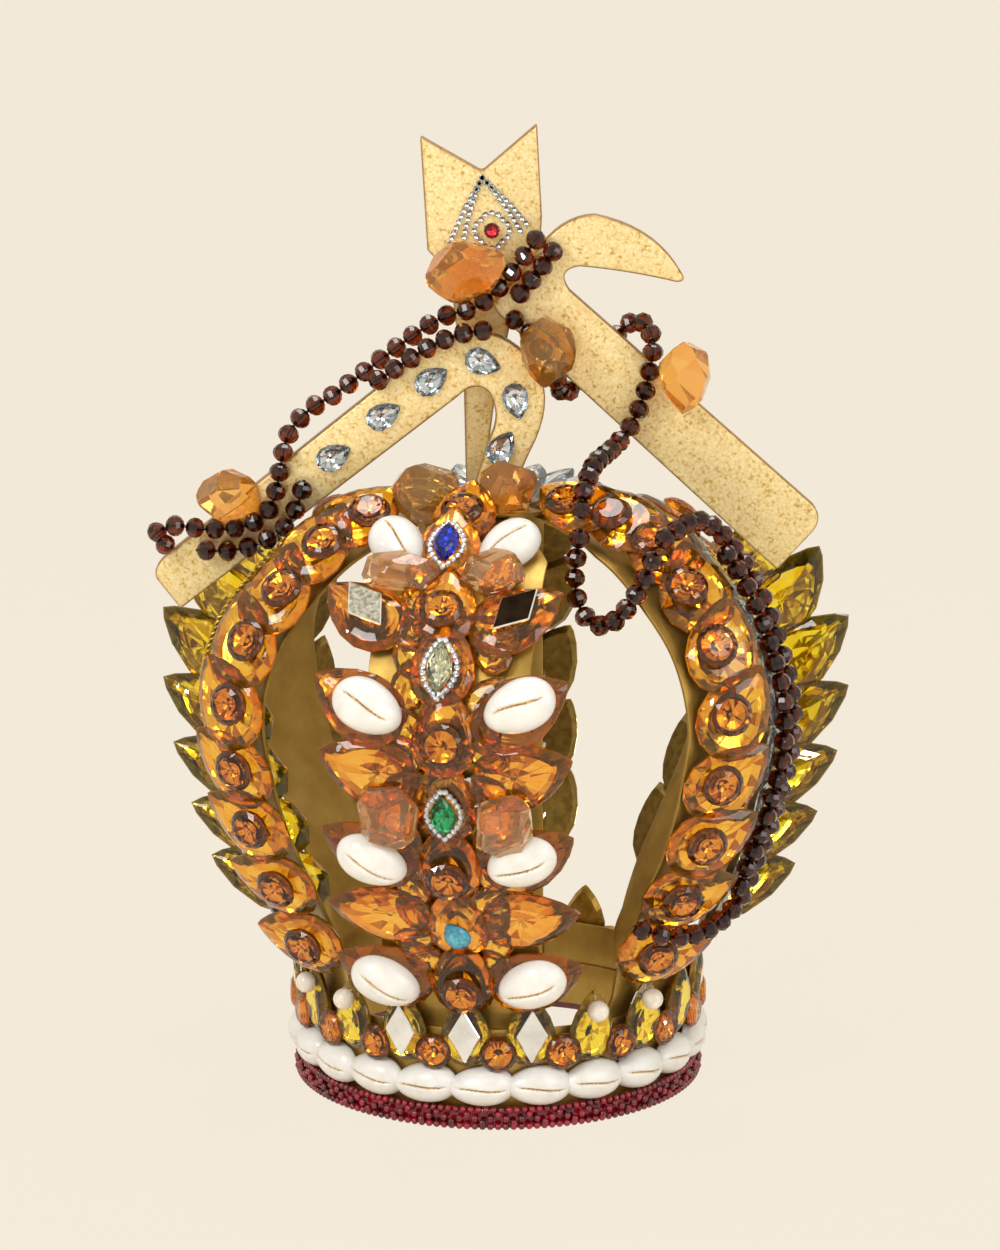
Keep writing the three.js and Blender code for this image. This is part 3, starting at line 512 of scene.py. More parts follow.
def write_faces(obj, attribute, kind, value):
    """Makes a face attribute and fills it with what a function says of each face."""
    made = obj.data.attributes.new(attribute, kind, "FACE")
    for face in obj.data.polygons:
        made.data[face.index].value = value(face)


def join(objects):
    """Joins objects into the first of them."""
    bpy.ops.object.select_all(action="DESELECT")
    for one in objects:
        one.select_set(True)
    bpy.context.view_layer.objects.active = objects[0]
    if len(objects) > 1:
        bpy.ops.object.join()
    objects[0].select_set(False)
    return objects[0]


def copies(master, name, seats, seed):
    """One piece out of a copy of the master at each seat, its facets toned afresh."""
    chance = random.Random(seed)
    made = []
    for place in seats:
        one = master.copy()
        one.data = master.data.copy()
        one.data.transform(place)
        if "tone" in one.data.attributes:
            tones = [chance.random() for _ in one.data.polygons]
            one.data.attributes["tone"].data.foreach_set("value", tones)
        bpy.context.scene.collection.objects.link(one)
        made.append(one)
    piece = join(made)
    piece.name = name
    piece.data.name = name
    return piece


def dress(piece, material, slot, *nodes, body="crown"):
    """Gives a piece its material, its body and the nodes that it stands for; the slot is not used.
    A cut stone has three materials and a mirror two: the face attribute "layer" says which is
    where."""
    if isinstance(material, tuple):
        for one in material:
            piece.data.materials.append(one)
        layers = [one.value for one in piece.data.attributes["layer"].data]
        piece.data.polygons.foreach_set("material_index", layers)
        piece.data.attributes.remove(piece.data.attributes["layer"])
    else:
        piece.data.materials.append(material)
    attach(piece, body)
    if nodes:
        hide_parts(*nodes)
    print(piece.name, len(piece.data.polygons), "faces")


# %% [markdown]
# ## Cutting a stone
# A cutter works a stone in rows of facets round its axis. Here it starts as a small filled circle,
# the flat point at the back. Each row is extruded from the last and drawn out to the girdle, then
# drawn in again to the table. Some rows are turned by half a step and split into the triangles
# of a brilliant cut. The cup is a second circle, raised once. Last, the round outline is drawn out
# to a teardrop or a pointed oval.

# %% Stone cutter
CULET, GIRDLE, CUP_FOOT = 0.08, 0.42, 0.84
# Each row of facets is its share of the outline, its height and whether it is turned.
BRILLIANT = [(0.3, 0.11, True), (0.64, 0.2, True), (1, GIRDLE, False), (0.98, 0.54, False),
             (0.8, 0.84, True), (0.6, 1, False)]
CUP_ROWS = [(0.99, GIRDLE, False)]


def teardrop_outline(reach, t, length, width):
    """Pointed at +y and round at -y. Smaller rings move towards the round end."""
    way = (1 - math.cos(t)) / 2
    share = way ** 0.82 * (1 - way) ** 0.5 / 0.418  # 0.418 is about the product's highest value
    return (reach * math.copysign(width / 2 * share, t),
            length / 2 * (reach * math.cos(t) - 0.2 * (1 - reach)))


def marquise_outline(reach, t, length, width):
    share = 1 - 2 * abs(t) / math.pi
    return reach * math.copysign(width / 2 * (1 - share ** 2), t), reach * length / 2 * share


def round_outline(reach, t, length, width):
    return reach * width / 2 * math.sin(t), reach * length / 2 * math.cos(t)


def raise_rows(corners, base, rows):
    """A filled circle, raised row by row."""
    bpy.ops.mesh.primitive_circle_add(vertices=corners, radius=base, fill_type="NGON")
    obj = bpy.context.object
    bpy.ops.object.mode_set(mode="EDIT")
    bpy.ops.mesh.select_all(action="SELECT")
    share, high = base, 0
    for next_share, next_high, turned in rows:
        bpy.ops.mesh.extrude_region_move(
            TRANSFORM_OT_translate={"value": (0, 0, next_high - high)})
        size = next_share / share
        bpy.ops.transform.resize(value=(size, size, 1), center_override=(0, 0, next_high))
        if turned:
            bpy.ops.transform.rotate(value=math.pi / corners, orient_axis="Z",
                                     center_override=(0, 0, 0))
        share, high = next_share, next_high
    bpy.ops.object.mode_set(mode="OBJECT")
    return obj


def near_girdle(high):
    """How near a facet is to the girdle: 1 there, 0 towards the back and the table."""
    near = high / GIRDLE * 2 - 0.6 if high < GIRDLE else (0.8 - high) * 4
    return min(max(near, 0), 1)


def cut_stone(name, outline, length, width, height, corners=16):
    """A cut stone in its cup, standing on z = 0 with its tip along +y. Sizes in millimetres."""
    stone = raise_rows(corners, CULET, BRILLIANT)
    for face in stone.data.polygons:
        face.select = len(face.vertices) == 4
    edit(stone, bpy.ops.mesh.quads_convert_to_tris, False, quad_method="SHORTEST_DIAGONAL")
    write_faces(stone, "edge", "FLOAT", lambda face: near_girdle(face.center.z))
    write_faces(stone, "layer", "INT", lambda face: GLASS if face.center.z > GIRDLE else FOIL)
    bpy.ops.object.select_all(action="DESELECT")
    cup = raise_rows(corners, CUP_FOOT, CUP_ROWS)
    for face in cup.data.polygons:
        face.select = face.center.z > GIRDLE - 0.01
    edit(cup, bpy.ops.mesh.delete, False, type="FACE")
    write_faces(cup, "layer", "INT", lambda face: CUP)
    join([stone, cup])
    for vertex in stone.data.vertices:
        reach = math.hypot(vertex.co.x, vertex.co.y)
        t = math.atan2(vertex.co.x, vertex.co.y)
        x, y = outline(reach, t, length, width)
        vertex.co = Vector((x, y, (0.02 + 0.98 * vertex.co.z) * height)) * MM
    stone.data.attributes.new("tone", "FLOAT", "FACE")
    return finish_blank(stone, name)


leaf_blank = cut_stone("leaf_blank", teardrop_outline, 38, 26, 6)
column_blank = cut_stone("column_blank", teardrop_outline, 34, 24, 6)
row_blank = cut_stone("row_blank", teardrop_outline, 38, 28, 6)
yellow_blank = cut_stone("yellow_blank", teardrop_outline, 49, 27, 6.2, corners=12)
ring_leaf_blank = cut_stone("ring_leaf_blank", teardrop_outline, 28, 19, 4.4)
pear_blank = cut_stone("pear_blank", teardrop_outline, 14, 10, 3, corners=12)
turquoise_blank = cut_stone("turquoise_blank", teardrop_outline, 12, 10, 4, corners=12)
small_blank = cut_stone("small_blank", teardrop_outline, 19, 13, 4, corners=10)
round_blank = cut_stone("round_blank", round_outline, 16, 16, 5)
ring_round_blank = cut_stone("ring_round_blank", round_outline, 14, 14, 4.6)
rhinestone_blank = cut_stone("rhinestone_blank", round_outline, 2.3, 2.3, 1.1, corners=8)
print("teardrop facets", len(leaf_blank.data.polygons))

# %% [markdown]
# ## The metal skeleton
# Each band is one strip of sheet. It starts as a flat grid that is laid along the band's line,
# gets its thickness from a Solidify modifier and a fine rounding from a Bevel modifier. Its foot
# follows the inside of the ring.

# %% Six bands
HUB_RIM, TAPER_RADIUS, HUB_HALF = 24, 62, 8
FOOT_HALF, FOOT_BLEND = 18, 8
RING_LOW, RING_HIGH, RING_OUTER, RING_WALL = 3, 37, 72, 1.2
GAP, SHEET_EDGE = 0.3, 0.3
FOOT_RADIUS = RING_OUTER - RING_WALL - GAP - BAND_WALL / 2


def make_band(name):
    """A strip of sheet, narrower at the hub and curved like the ring at its foot."""
    azimuth, half_width, bulge = BANDS[name]
    bpy.ops.mesh.primitive_grid_add(x_subdivisions=8, y_subdivisions=96, size=2)
    obj = bpy.context.object
    length = LINES[bulge].length
    for vertex in obj.data.vertices:
        s = (vertex.co.y + 1) / 2 * length
        point, _, _, across = on_band(name, s, 0, -BAND_WALL / 2)
        radius = math.hypot(point.x, point.y)
        taper = min(max((radius - HUB_RIM) / (TAPER_RADIUS - HUB_RIM), 0), 1)
        low = min(max((point.z - RING_HIGH) / FOOT_BLEND, 0), 1)
        full = FOOT_HALF + (half_width - FOOT_HALF) * low
        u = vertex.co.x * (HUB_HALF + (full - HUB_HALF) * taper)
        out, _ = directions(azimuth + math.degrees(u / FOOT_RADIUS))
        curved = out * FOOT_RADIUS + UP * point.z
        vertex.co = curved.lerp(point + across * u, low) * MM
    apply_modifier(obj, "SOLIDIFY", thickness=BAND_WALL * MM, offset=0)
    round_edges(obj, SHEET_EDGE)
    return finish_mesh(obj, name.replace("arch", "band"), SMOOTH)


for name in BANDS:
    dress(make_band(name), brass, "gold_metal", name)

# %% [markdown]
# The ring and its lower inner tier are thin walls. Each is a cylinder without caps, thickened
# inwards and rounded along its edges, so that the seam between the two shows inside the back.

# %% Ring walls and hub
TIER_OUTER, TIER_WALL, TIER_LOW, TIER_HIGH = 70.5, 0.9, 4, 20.5
HUB_RADIUS, HUB_THICK, HUB_MIDDLE = 30, 1.4, 220.3


def wall(name, radius, thickness, low, high, edge=SHEET_EDGE):
    """A thin round wall, its outer radius, thickness and two heights in millimetres."""
    bpy.ops.mesh.primitive_cylinder_add(vertices=128, radius=radius * MM, depth=(high - low) * MM,
                                        end_fill_type="NOTHING",
                                        location=(0, 0, (high + low) / 2 * MM))
    obj = bpy.context.object
    bpy.ops.object.transform_apply(location=True)
    apply_modifier(obj, "SOLIDIFY", thickness=thickness * MM, offset=-1)
    round_edges(obj, edge)
    return finish_mesh(obj, name, SMOOTH)


dress(wall("ring_wall", RING_OUTER, RING_WALL, RING_LOW, RING_HIGH), brass, "gold_metal",
      "ring_band")
dress(wall("ring_lower_tier", TIER_OUTER, TIER_WALL, TIER_LOW, TIER_HIGH), brass, "gold_metal",
      "ring_liner")

bpy.ops.mesh.primitive_cylinder_add(vertices=64, radius=HUB_RADIUS * MM, depth=HUB_THICK * MM,
                                    location=(0, 0, HUB_MIDDLE * MM))
hub = bpy.context.object
bpy.ops.object.transform_apply(location=True)
round_edges(hub, 0.4, segments=3)
dress(finish_mesh(hub, "hub_disc", SMOOTH), brass, "gold_metal", "hub_plate")

# %% [markdown]
# ## Cowrie shells
# A cowrie is a domed egg, wider towards one end, with a long toothed slit. It starts as an
# icosphere: the top half is kept domed and the back flattened, and the points near the slit are
# pressed in. Small steps along the slit's lips are the teeth.

# %% Cowrie
# Shares of the shell's half size, and the teeth's spacing in millimetres.
SLIT_HALF, SLIT_REACH, SLIT_DEPTH, BACK_FLAT = 0.05, 0.8, 0.2, 0.12
TOOTH_PITCH = 1.7


def make_cowrie(name, length, width, height):
    """A shell lying on its back's rim, its slit along y. Sizes in millimetres."""
    bpy.ops.mesh.primitive_ico_sphere_add(subdivisions=5, radius=1)
    obj = bpy.context.object
    slit = obj.data.attributes.new("slit", "FLOAT", "POINT")
    for vertex in obj.data.vertices:
        x, y, z = vertex.co
        egg = 1 + 0.12 * y
        middle = 0.1 * math.sin(2.6 * y)  # the slit bends a little, like an S
        away = (x - middle) / SLIT_HALF
        open_here = max(0, 1 - (abs(y) / SLIT_REACH) ** 6) if z > 0 else 0
        gap = math.exp(-away ** 2) * open_here
        teeth = 0.5 + 0.5 * math.cos(y * length / 2 * 2 * math.pi / TOOTH_PITCH)
        lip = math.exp(-((abs(away) - 1.6) / 0.9) ** 2) * open_here
        rise = (z if z > 0 else z * BACK_FLAT) - SLIT_DEPTH * gap + 0.03 * lip * teeth
        vertex.co = Vector((x * egg * width / 2, y * length / 2, max(rise, -0.1) * height)) * MM
        slit.data[vertex.index].value = min(1, gap * (0.75 + 0.4 * teeth))
    apply_modifier(obj, "DECIMATE", ratio=0.3)
    return finish_blank(obj, name, 60)


ring_cowrie = make_cowrie("ring_cowrie_blank", 24.6, 15, 7.4)
leaf_cowrie = make_cowrie("leaf_cowrie_blank", 26.5, 18.6, 8.4)
SHELL_RADIUS = RING_OUTER + GAP
SHELLS, FIRST_SHELL, SHELL_OUT, SHELL_Z, SHELL_TILT = 22, -4.7, 0.9, 15.9, 7
chance = random.Random(3)
seats = []
for k in range(SHELLS):
    angle = FIRST_SHELL + 360 * k / SHELLS
    tilt = 90 + chance.uniform(-SHELL_TILT, SHELL_TILT)
    seats.append(ring_seat(angle, SHELL_RADIUS + SHELL_OUT, SHELL_Z, 0, tilt))
dress(copies(ring_cowrie, "ring_cowries", seats, 1), shell, "shell", "cowrie_row")

# %% [markdown]
# ## The ring's stones
# Upright yellow teardrops stand over the shells with a round topaz between each two. Four
# teardrops carry a pearl, and three at the front carry a small diamond of mirror.

# %% Ring stones, pearls and mirrors
TURNS = range(0, 360, 18)
PEARL_RADIUS, DRILLED_FROM, MIRROR_THICK = 4, 3.8, 1.3


def ring_row(blank, name, seed, angles, out, z, lean=0):
    """Copies of a blank round the ring, so far out from the shells' line and so high."""
    return copies(blank, name, [ring_seat(a, SHELL_RADIUS + out, z, lean) for a in angles], seed)


dress(ring_row(ring_leaf_blank, "ring_teardrops", 11, [9 + a for a in TURNS], 1.6, 37.6, 5),
      yellow_stone, "yellow_glass", "ring_gem_row")
dress(ring_row(ring_round_blank, "ring_rounds", 12, TURNS, 2.6, 29.2), topaz_stone, "amber_glass")

bpy.ops.mesh.primitive_uv_sphere_add(segments=28, ring_count=18, radius=PEARL_RADIUS * MM)
pearl_blank = bpy.context.object
edit(pearl_blank, bpy.ops.mesh.select_all, False, action="DESELECT")
for face in pearl_blank.data.polygons:
    face.select = face.center.z > DRILLED_FROM * MM
edit(pearl_blank, bpy.ops.mesh.inset, False, thickness=0.1 * MM)
edit(pearl_blank, bpy.ops.mesh.extrude_region_move, False,
     TRANSFORM_OT_translate={"value": (0, 0, -0.5 * MM)})
finish_blank(pearl_blank, "pearl_blank", 50)
dress(ring_row(pearl_blank, "ring_pearls", 13, (-63, -45, 27, 45), 8.2, 44), pearl_coat, "shell")


def make_diamond(name, length, width):
    """A thin diamond of mirror with a fine bevel round its face, on z = 0, tips along y."""
    bpy.ops.mesh.primitive_circle_add(vertices=4, radius=1, fill_type="NGON")
    obj = bpy.context.object
    for vertex in obj.data.vertices:
        vertex.co = Vector((vertex.co.x * width / 2, vertex.co.y * length / 2, 0)) * MM
    edit(obj, bpy.ops.mesh.extrude_region_move,
         TRANSFORM_OT_translate={"value": (0, 0, MIRROR_THICK * MM)})
    round_edges(obj, 0.4, segments=1)
    write_faces(obj, "layer", "INT", lambda face: 0 if abs(face.normal.z) > 0.99 else 1)
    return finish_blank(obj, name)


ring_diamond = make_diamond("ring_diamond_blank", 21, 12)
dress(ring_row(ring_diamond, "ring_mirrors", 14, (-27, -9, 9), 6.2, 36.4, 5),
      mirror, "clear_glass")

# %% [markdown]
# ## The front band
# Down the middle runs a column of teardrops, tips up, with a round stone, a pointed oval or a
# turquoise on each. To its sides six pairs of leaf-shaped teardrops point out and up. Shells lie
# on every other pair, the top pair carries mirrors, and small stones fill the rest of the sheet.

# %% Column and leaves
FRONT = "arch_front"
# Each place of the column is its s, u, lift and lean.
COLUMN = [(39, 1, 0.5, 0), (66, 1, 0.5, 0), (93, 0, 0.5, 0), (118, 0, 0.5, 0), (142, 0, 0.5, 0),
          (165, -2, 0.5, 0), (187, -4, 0.5, 0), (215, -6.5, 3, 20), (238, -5, 4, 24)]
COLUMN_ROUNDS = (0, 2, 4, 6, 8)
# Each tier of leaves is its s, the distance to both sides, a shift and the rise of its tips.
LEAF_TIERS = [(39, 28, 0, 23), (68, 27.5, 0, 12), (96, 29, 0, 30), (128, 28, 0, 20),
              (150, 29.5, -2, 33), (183, 27.5, -5, 38)]
SIDES = ((-1, "left"), (1, "right"))
TEARDROP_TOP = 6.1


def column_seat(tier, drop=0.0, over=0.0, roll=0, aside=0.0):
    """A seat on the column: down its teardrop, over the band, rolled and to the side."""
    s, u, lift, lean = COLUMN[tier]
    shift = Matrix.Translation(Vector((aside, -drop, over)) * MM)
    return band_seat(FRONT, s, u, lift, lean=lean) @ shift @ Matrix.Rotation(
        math.radians(roll), 4, "Z")


dress(copies(column_blank, "column_teardrops",
             [column_seat(tier) for tier in range(len(COLUMN))], 21),
      amber_stone, "amber_glass", "front_gem_column")
dress(copies(round_blank, "column_rounds",
             [column_seat(tier, 5, TEARDROP_TOP) for tier in COLUMN_ROUNDS], 22),
      topaz_stone, "amber_glass")
dress(copies(turquoise_blank, "column_turquoise", [column_seat(1, 3, TEARDROP_TOP, 30)], 23),
      turquoise_stone, "blue_glass")

for side, word in SIDES:
    for k, (s, away, shift, rise) in enumerate(LEAF_TIERS):
        place = band_seat(FRONT, s, shift + side * away, 0.5 - 0.3 * (k % 2), 0,
                          to_side(rise, side))
        label = word + "_" + str(k + 1)
        dress(copies(leaf_blank, "leaf_" + label, [place], 30 + 7 * k + side),
              amber_stone, "amber_glass", "front_leaf_" + label)

# %% Small stones between the column and the leaves
FILLER_ASIDE, FILLER_LIFT = 14.5, 0.9
chance = random.Random(8)
filler_seats = []
for s in range(46, 206, 11):
    for side, _ in SIDES:
        tip = 90 + side * chance.uniform(-75, 75)
        filler_seats.append(band_seat(FRONT, s + chance.uniform(-2, 2), side * FILLER_ASIDE,
                                      FILLER_LIFT, side * chance.uniform(-14, 14), tip))
dress(copies(small_blank, "front_small_stones", filler_seats, 41), honey_stone, "amber_glass")

# %% Shells and mirrors on the front band
LEAF_TOP, SHELL_ASIDE, SHELL_TIP = 6.8, 27, 26
MIRROR_S, MIRROR_LIFT = 184, 6.6
TOP_SHELLS = {
    "left": band_seat(FRONT, 213, -25, 4, 0, 132, 22),
    "right": band_seat(FRONT, 215.5, 14.5, 3, 0, 52, 22),
}
for side, word in SIDES:
    for k, tier in enumerate((0, 2, 4)):
        place = band_seat(FRONT, LEAF_TIERS[tier][0] + side, side * SHELL_ASIDE, LEAF_TOP, 0,
                          to_side(SHELL_TIP, side))
        label = word + "_" + str(k + 1)
        dress(copies(leaf_cowrie, "leaf_shell_" + label, [place], 5),
              shell, "shell", "leaf_cowrie_" + label)
    dress(copies(leaf_cowrie, "top_shell_" + word, [TOP_SHELLS[word]], 5), shell, "shell",
          "top_cowrie_" + word)

leaf_diamond = make_diamond("leaf_diamond_blank", 23, 14)
for word, u, tip, glass in (("left", -32, 128, grainy_mirror), ("right", 22, 52, smoked_mirror)):
    place = band_seat(FRONT, MIRROR_S, u, MIRROR_LIFT, 0, tip)
    dress(copies(leaf_diamond, "leaf_mirror_" + word, [place], 15), glass, "clear_glass")

# %% [markdown]
# The three marquise stones sit on teardrops of the column, each in a close row of rhinestones. The
# row follows the stone's own outline a little further out, with a stone about every 2.3 mm.

# %% Marquises and their rhinestones
# Each is its tier of the column, its length and width, its stone and its slot.
MARQUISES = {
    "marquise_green": (3, 16.5, 9.4, green_stone, "green_glass"),
    "marquise_olive": (5, 20, 9.4, olive_stone, "olive_glass"),
    "marquise_blue": (7, 17.5, 9.4, blue_stone, "blue_glass"),
}
MARQUISE_DROP, MARQUISE_HIGH, HALO_PITCH = 4, 5.0, 2.3
halo_seats = []
for node, (tier, length, width, glass, slot) in MARQUISES.items():
    blank = cut_stone(node + "_blank", marquise_outline, length, width, MARQUISE_HIGH)
    dress(copies(blank, node.replace("marquise_", "pointed_oval_"),
                 [column_seat(tier, MARQUISE_DROP, TEARDROP_TOP + 0.3)], 16), glass, slot, node)
    rim = [marquise_outline(1, math.pi * (k / 8 - 1), length + 2.6, width + 3.0)
           for k in range(17)]
    row = SmoothLine([(x, y, 0) for x, y in rim])
    count = round(row.length / HALO_PITCH)
    for k in range(count):
        spot, _ = row.at(k / count)
        halo_seats.append(column_seat(tier, MARQUISE_DROP - spot.y, TEARDROP_TOP + 0.8, 0, spot.x))
dress(copies(rhinestone_blank, "marquise_halos", halo_seats, 17), rhinestone, "clear_glass")

# %% [markdown]
# ## Tumbled chunks
# The large amber and peach pieces are acrylic, cut to flat faces and tumbled until their edges are
# soft. Each starts as a fine sphere of its own size and is sliced by sixteen or twenty planes at
# uneven angles, as on a lapidary's wheel. A narrow bevel takes the sharpness off.

# %% Chunks
GOLDEN_ANGLE = 2.39996
# The planes take off about an eighth, so the sphere starts that much larger than half the size.
CHUNK_RADIUS = 0.56


def make_chunk(name, wide, deep, high, cuts, seed):
    """A tumbled chunk round the origin, its three sizes in millimetres."""
    bpy.ops.mesh.primitive_ico_sphere_add(subdivisions=3, radius=1)
    obj = bpy.context.object
    dice = random.Random(seed)
    for k in range(cuts):
        z = 1 - 2 * (k + 0.5) / cuts
        a = k * GOLDEN_ANGLE + dice.uniform(-0.5, 0.5)
        flat = math.sqrt(1 - z * z)
        way = Vector((flat * math.cos(a), flat * math.sin(a), z))
        edit(obj, bpy.ops.mesh.bisect, plane_co=way * dice.uniform(0.74, 0.86), plane_no=way,
             use_fill=True, clear_outer=True)
    for vertex in obj.data.vertices:
        x, y, z = vertex.co
        vertex.co = Vector((x * wide, y * deep, z * high)) * MM * CHUNK_RADIUS
    round_edges(obj, 0.35, angle=18)
    obj.data.attributes.new("tone", "FLOAT", "FACE")
    return finish_blank(obj, name)


# Each of these is its s, u and lift, then its width, depth and height.
FRONT_CHUNKS = {
    "nugget_lower_left": (113, -20, 9.3, 21, 24, 13),
    "nugget_lower_right": (111.5, 21.5, 9.3, 21, 24, 13),
    "nugget_upper_left": (199, -22, 6, 26, 17, 13),
    "nugget_upper_right": (200, 11.5, 6, 23, 17, 13),
}
for number, (node, (s, u, lift, wide, deep, high)) in enumerate(FRONT_CHUNKS.items()):
    blank = make_chunk(node + "_blank", wide, deep, high, 16, number)
    dress(copies(blank, node.replace("nugget", "peach_chunk"),
                 [band_seat(FRONT, s, u, lift)], 50 + number), peach_chunk, "peach_glass", node)

# Each of these is its x, y and z, then its width, depth and height.
STRAND_CHUNKS = {
    "nugget_swallowtail": (-11.4, -7.5, 307.3, 30, 21, 23),
    "nugget_crook_top": (17.5, -15.5, 279.2, 20, 18, 25),
    "nugget_hook": (69, -10, 268.4, 19, 18, 27), "nugget_handle": (-99, -13, 224.6, 23, 18, 19),
}
# Two more stand on the hub's disc, behind the top of the column.
HUB_CHUNKS = {
    "hub_chunk_left": (-27, -24, 227, 27, 22, 22), "hub_chunk_right": (3, -24, 229, 22, 20, 23),
}
ALL_CHUNKS = {**STRAND_CHUNKS, **HUB_CHUNKS}
for number, (name, (x, y, z, wide, deep, high)) in enumerate(ALL_CHUNKS.items()):
    blank = make_chunk(name + "_blank", wide, deep, high, 20, 10 + number)
    place = Matrix.Translation(Vector((x, y, z)) * MM)
    nodes = [name] if name in STRAND_CHUNKS else []
    dress(copies(blank, name.replace("nugget", "amber_chunk"), [place], 60 + number),
          amber_chunk, "amber_glass", *nodes)

# %% Clear leaves on the hub
# Silver-backed leaves stand out round the back of the hub's disc and show above its edge.
HUB_LEAF_RADIUS, HUB_LEAF_Z = 26, 221.2
hub_leaves = []
for angle in range(60, 301, 24):
    out, _ = directions(angle)
    hub_leaves.append(seat(out * HUB_LEAF_RADIUS + UP * HUB_LEAF_Z, UP * 0.94 - out * 0.34,
                           out + UP * 0.4))
dress(copies(ring_leaf_blank, "hub_leaves", hub_leaves, 68), clear_stone, "clear_glass")

# %% [markdown]
# ## Rows on the side bands
# Each side band of the front carries teardrops turned towards the viewer, with a round topaz on
# every one. Behind them, on the far edge, clear silver-backed teardrops lean outwards. The back
# side bands carry yellow teardrops that stand out like feathers and make the crown's outline.

# %% Side rows
# Each row is its band and side, the clear stones' u and lift, and its places: a round stone's s
# and u. Its teardrop lies under it, further out.
ROWS = {
    "right": ("arch_right_front", 1, (25, 0.2),
              [(47, -12), (73, -11.5), (96, -10), (119, -9), (141, -7), (162, -6), (183, -4),
               (203, -3), (219, -6), (233, -13)]),
    "left": ("arch_left_front", -1, (22, -3),
             [(47, 12.5), (74, 13.5), (98, 13), (120, 12), (141, 12.5), (161, 12.5), (180, 13.5),
              (201, 12), (219, 12)]),
}
ROW_TURN, LEAF_ASIDE, LEAF_LIFT, STONE_LIFT = 28, 7, 6.6, 9.8
FIRST_RISE, RISE_PER_MM = 22, 0.33
CLEAR_TURN, CLEAR_TIP = 34, 30
CLEAR_PLACES = [58, 80, 102, 124, 146, 168, 189, 208]
YELLOW_ROWS = {"right": ("arch_right_back", -1), "left": ("arch_left_back", 1)}
YELLOW_ASIDE, YELLOW_LIFT, YELLOW_TURN, YELLOW_TIP = 28.6, 11.2, 135, 40
YELLOW_PLACES = [50, 72, 94, 116, 138, 160, 181]
for number, (word, (band, side, (clear_u, clear_lift), places)) in enumerate(ROWS.items()):
    drops, rounds = [], []
    for s, u in places:
        tip = to_side(FIRST_RISE + RISE_PER_MM * (s - places[0][0]), side)
        drops.append(band_seat(band, s, u + side * LEAF_ASIDE, LEAF_LIFT, -side * ROW_TURN, tip))
        rounds.append(band_seat(band, s, u, STONE_LIFT, -side * ROW_TURN, tip))
    dress(copies(row_blank, "amber_teardrops_" + word, drops, 70 + number),
          honey_stone, "amber_glass", "amber_row_" + word)
    dress(copies(round_blank, "row_rounds_" + word, rounds, 72 + number),
          topaz_stone, "amber_glass")
    clear = [band_seat(band, s, side * clear_u, clear_lift, side * CLEAR_TURN,
                       to_side(CLEAR_TIP, side)) for s in CLEAR_PLACES]
    dress(copies(row_blank, "clear_teardrops_" + word, clear, 74 + number),
          clear_stone, "clear_glass", "clear_row_" + word)
    band, side = YELLOW_ROWS[word]
    yellow = [band_seat(band, s, side * YELLOW_ASIDE, YELLOW_LIFT, side * YELLOW_TURN,
                        to_side(YELLOW_TIP, -side)) for s in YELLOW_PLACES]
    dress(copies(yellow_blank, "yellow_teardrops_" + word, yellow, 76 + number),
          yellow_stone, "yellow_glass", "yellow_row_" + word)

# %% Back bands
BACK_PLACES = [60, 89, 118, 147, 175, 203]
BACK_ASIDE, BACK_TIP, HIGHEST_LEAF = 20, 60, 190
ROUND_DROP, ROUND_LIFT = 5, 6.6
BACK_SIDES = {"arch_right_back": [1], "arch_back": [-1, 1], "arch_left_back": [-1]}
for number, (band, sides) in enumerate(BACK_SIDES.items()):
    drops = [band_seat(band, s, 0, 0.5) for s in BACK_PLACES]
    leaves = [band_seat(band, s, side * BACK_ASIDE, 0.5, 0, to_side(BACK_TIP, side))
              for s in BACK_PLACES if s <= HIGHEST_LEAF for side in sides]
    rounds = [band_seat(band, s - ROUND_DROP, 0, ROUND_LIFT) for s in BACK_PLACES]
    word = band.replace("arch_", "")
    dress(copies(column_blank, word + "_teardrops", drops, 80 + number),
          amber_stone, "amber_glass", word + "_gems")
    dress(copies(leaf_blank, word + "_leaves", leaves, 84 + number),
          back_stone, "yellow_glass")
    dress(copies(round_blank, word + "_rounds", rounds, 88 + number),
          topaz_stone, "amber_glass")

# %% [markdown]
# ## The gilded boards
# The crook, the hooked tool and the swallow-tailed piece are sawn from board, rounded along the
# edges and covered. Each outline is a filled circle whose points are moved onto the drawing. It is
# extruded by the board's thickness and its edges get a soft bevel. The attribute "rim" marks the
# sawn edge, where the covering is darkened as painted shade.

# %% Boards
BOARD_FOOT, BOARD_THICK, BOARD_EDGE = 221.3, 7.0, 1.2
CURVE_STEPS = 9


def outline_points(steps):
    """Points along straight lines and quadratic curves, as in a drawing program."""
    points = []
    for numbers in steps:
        if len(numbers) == 2:
            points.append(numbers)
            continue
        (x0, z0), (x1, z1, x2, z2) = points[-1], numbers
        for k in range(1, CURVE_STEPS + 1):
            t = k / CURVE_STEPS
            a, b, c = (1 - t) ** 2, 2 * t * (1 - t), t * t
            points.append((a * x0 + b * x1 + c * x2, a * z0 + b * z1 + c * z2))
    return points


def make_board(name, steps, front):
    """A board along an outline of x and z, its front face at y = front."""
    points = outline_points(steps)
    bpy.ops.mesh.primitive_circle_add(vertices=len(points), radius=1, fill_type="NGON")
    obj = bpy.context.object
    for vertex, (x, z) in zip(obj.data.vertices, points):
        vertex.co = Vector((x, front, z)) * MM
    edit(obj, bpy.ops.mesh.extrude_region_move,
         TRANSFORM_OT_translate={"value": (0, BOARD_THICK * MM, 0)})
    round_edges(obj, BOARD_EDGE, segments=3, angle=60)
    # The sawn edge is marked for the skin's painted shade.
    write_faces(obj, "rim", "FLOAT", lambda face: 1 - min(1, abs(face.normal.y) ** 4))
    return finish_mesh(obj, name, SMOOTH)


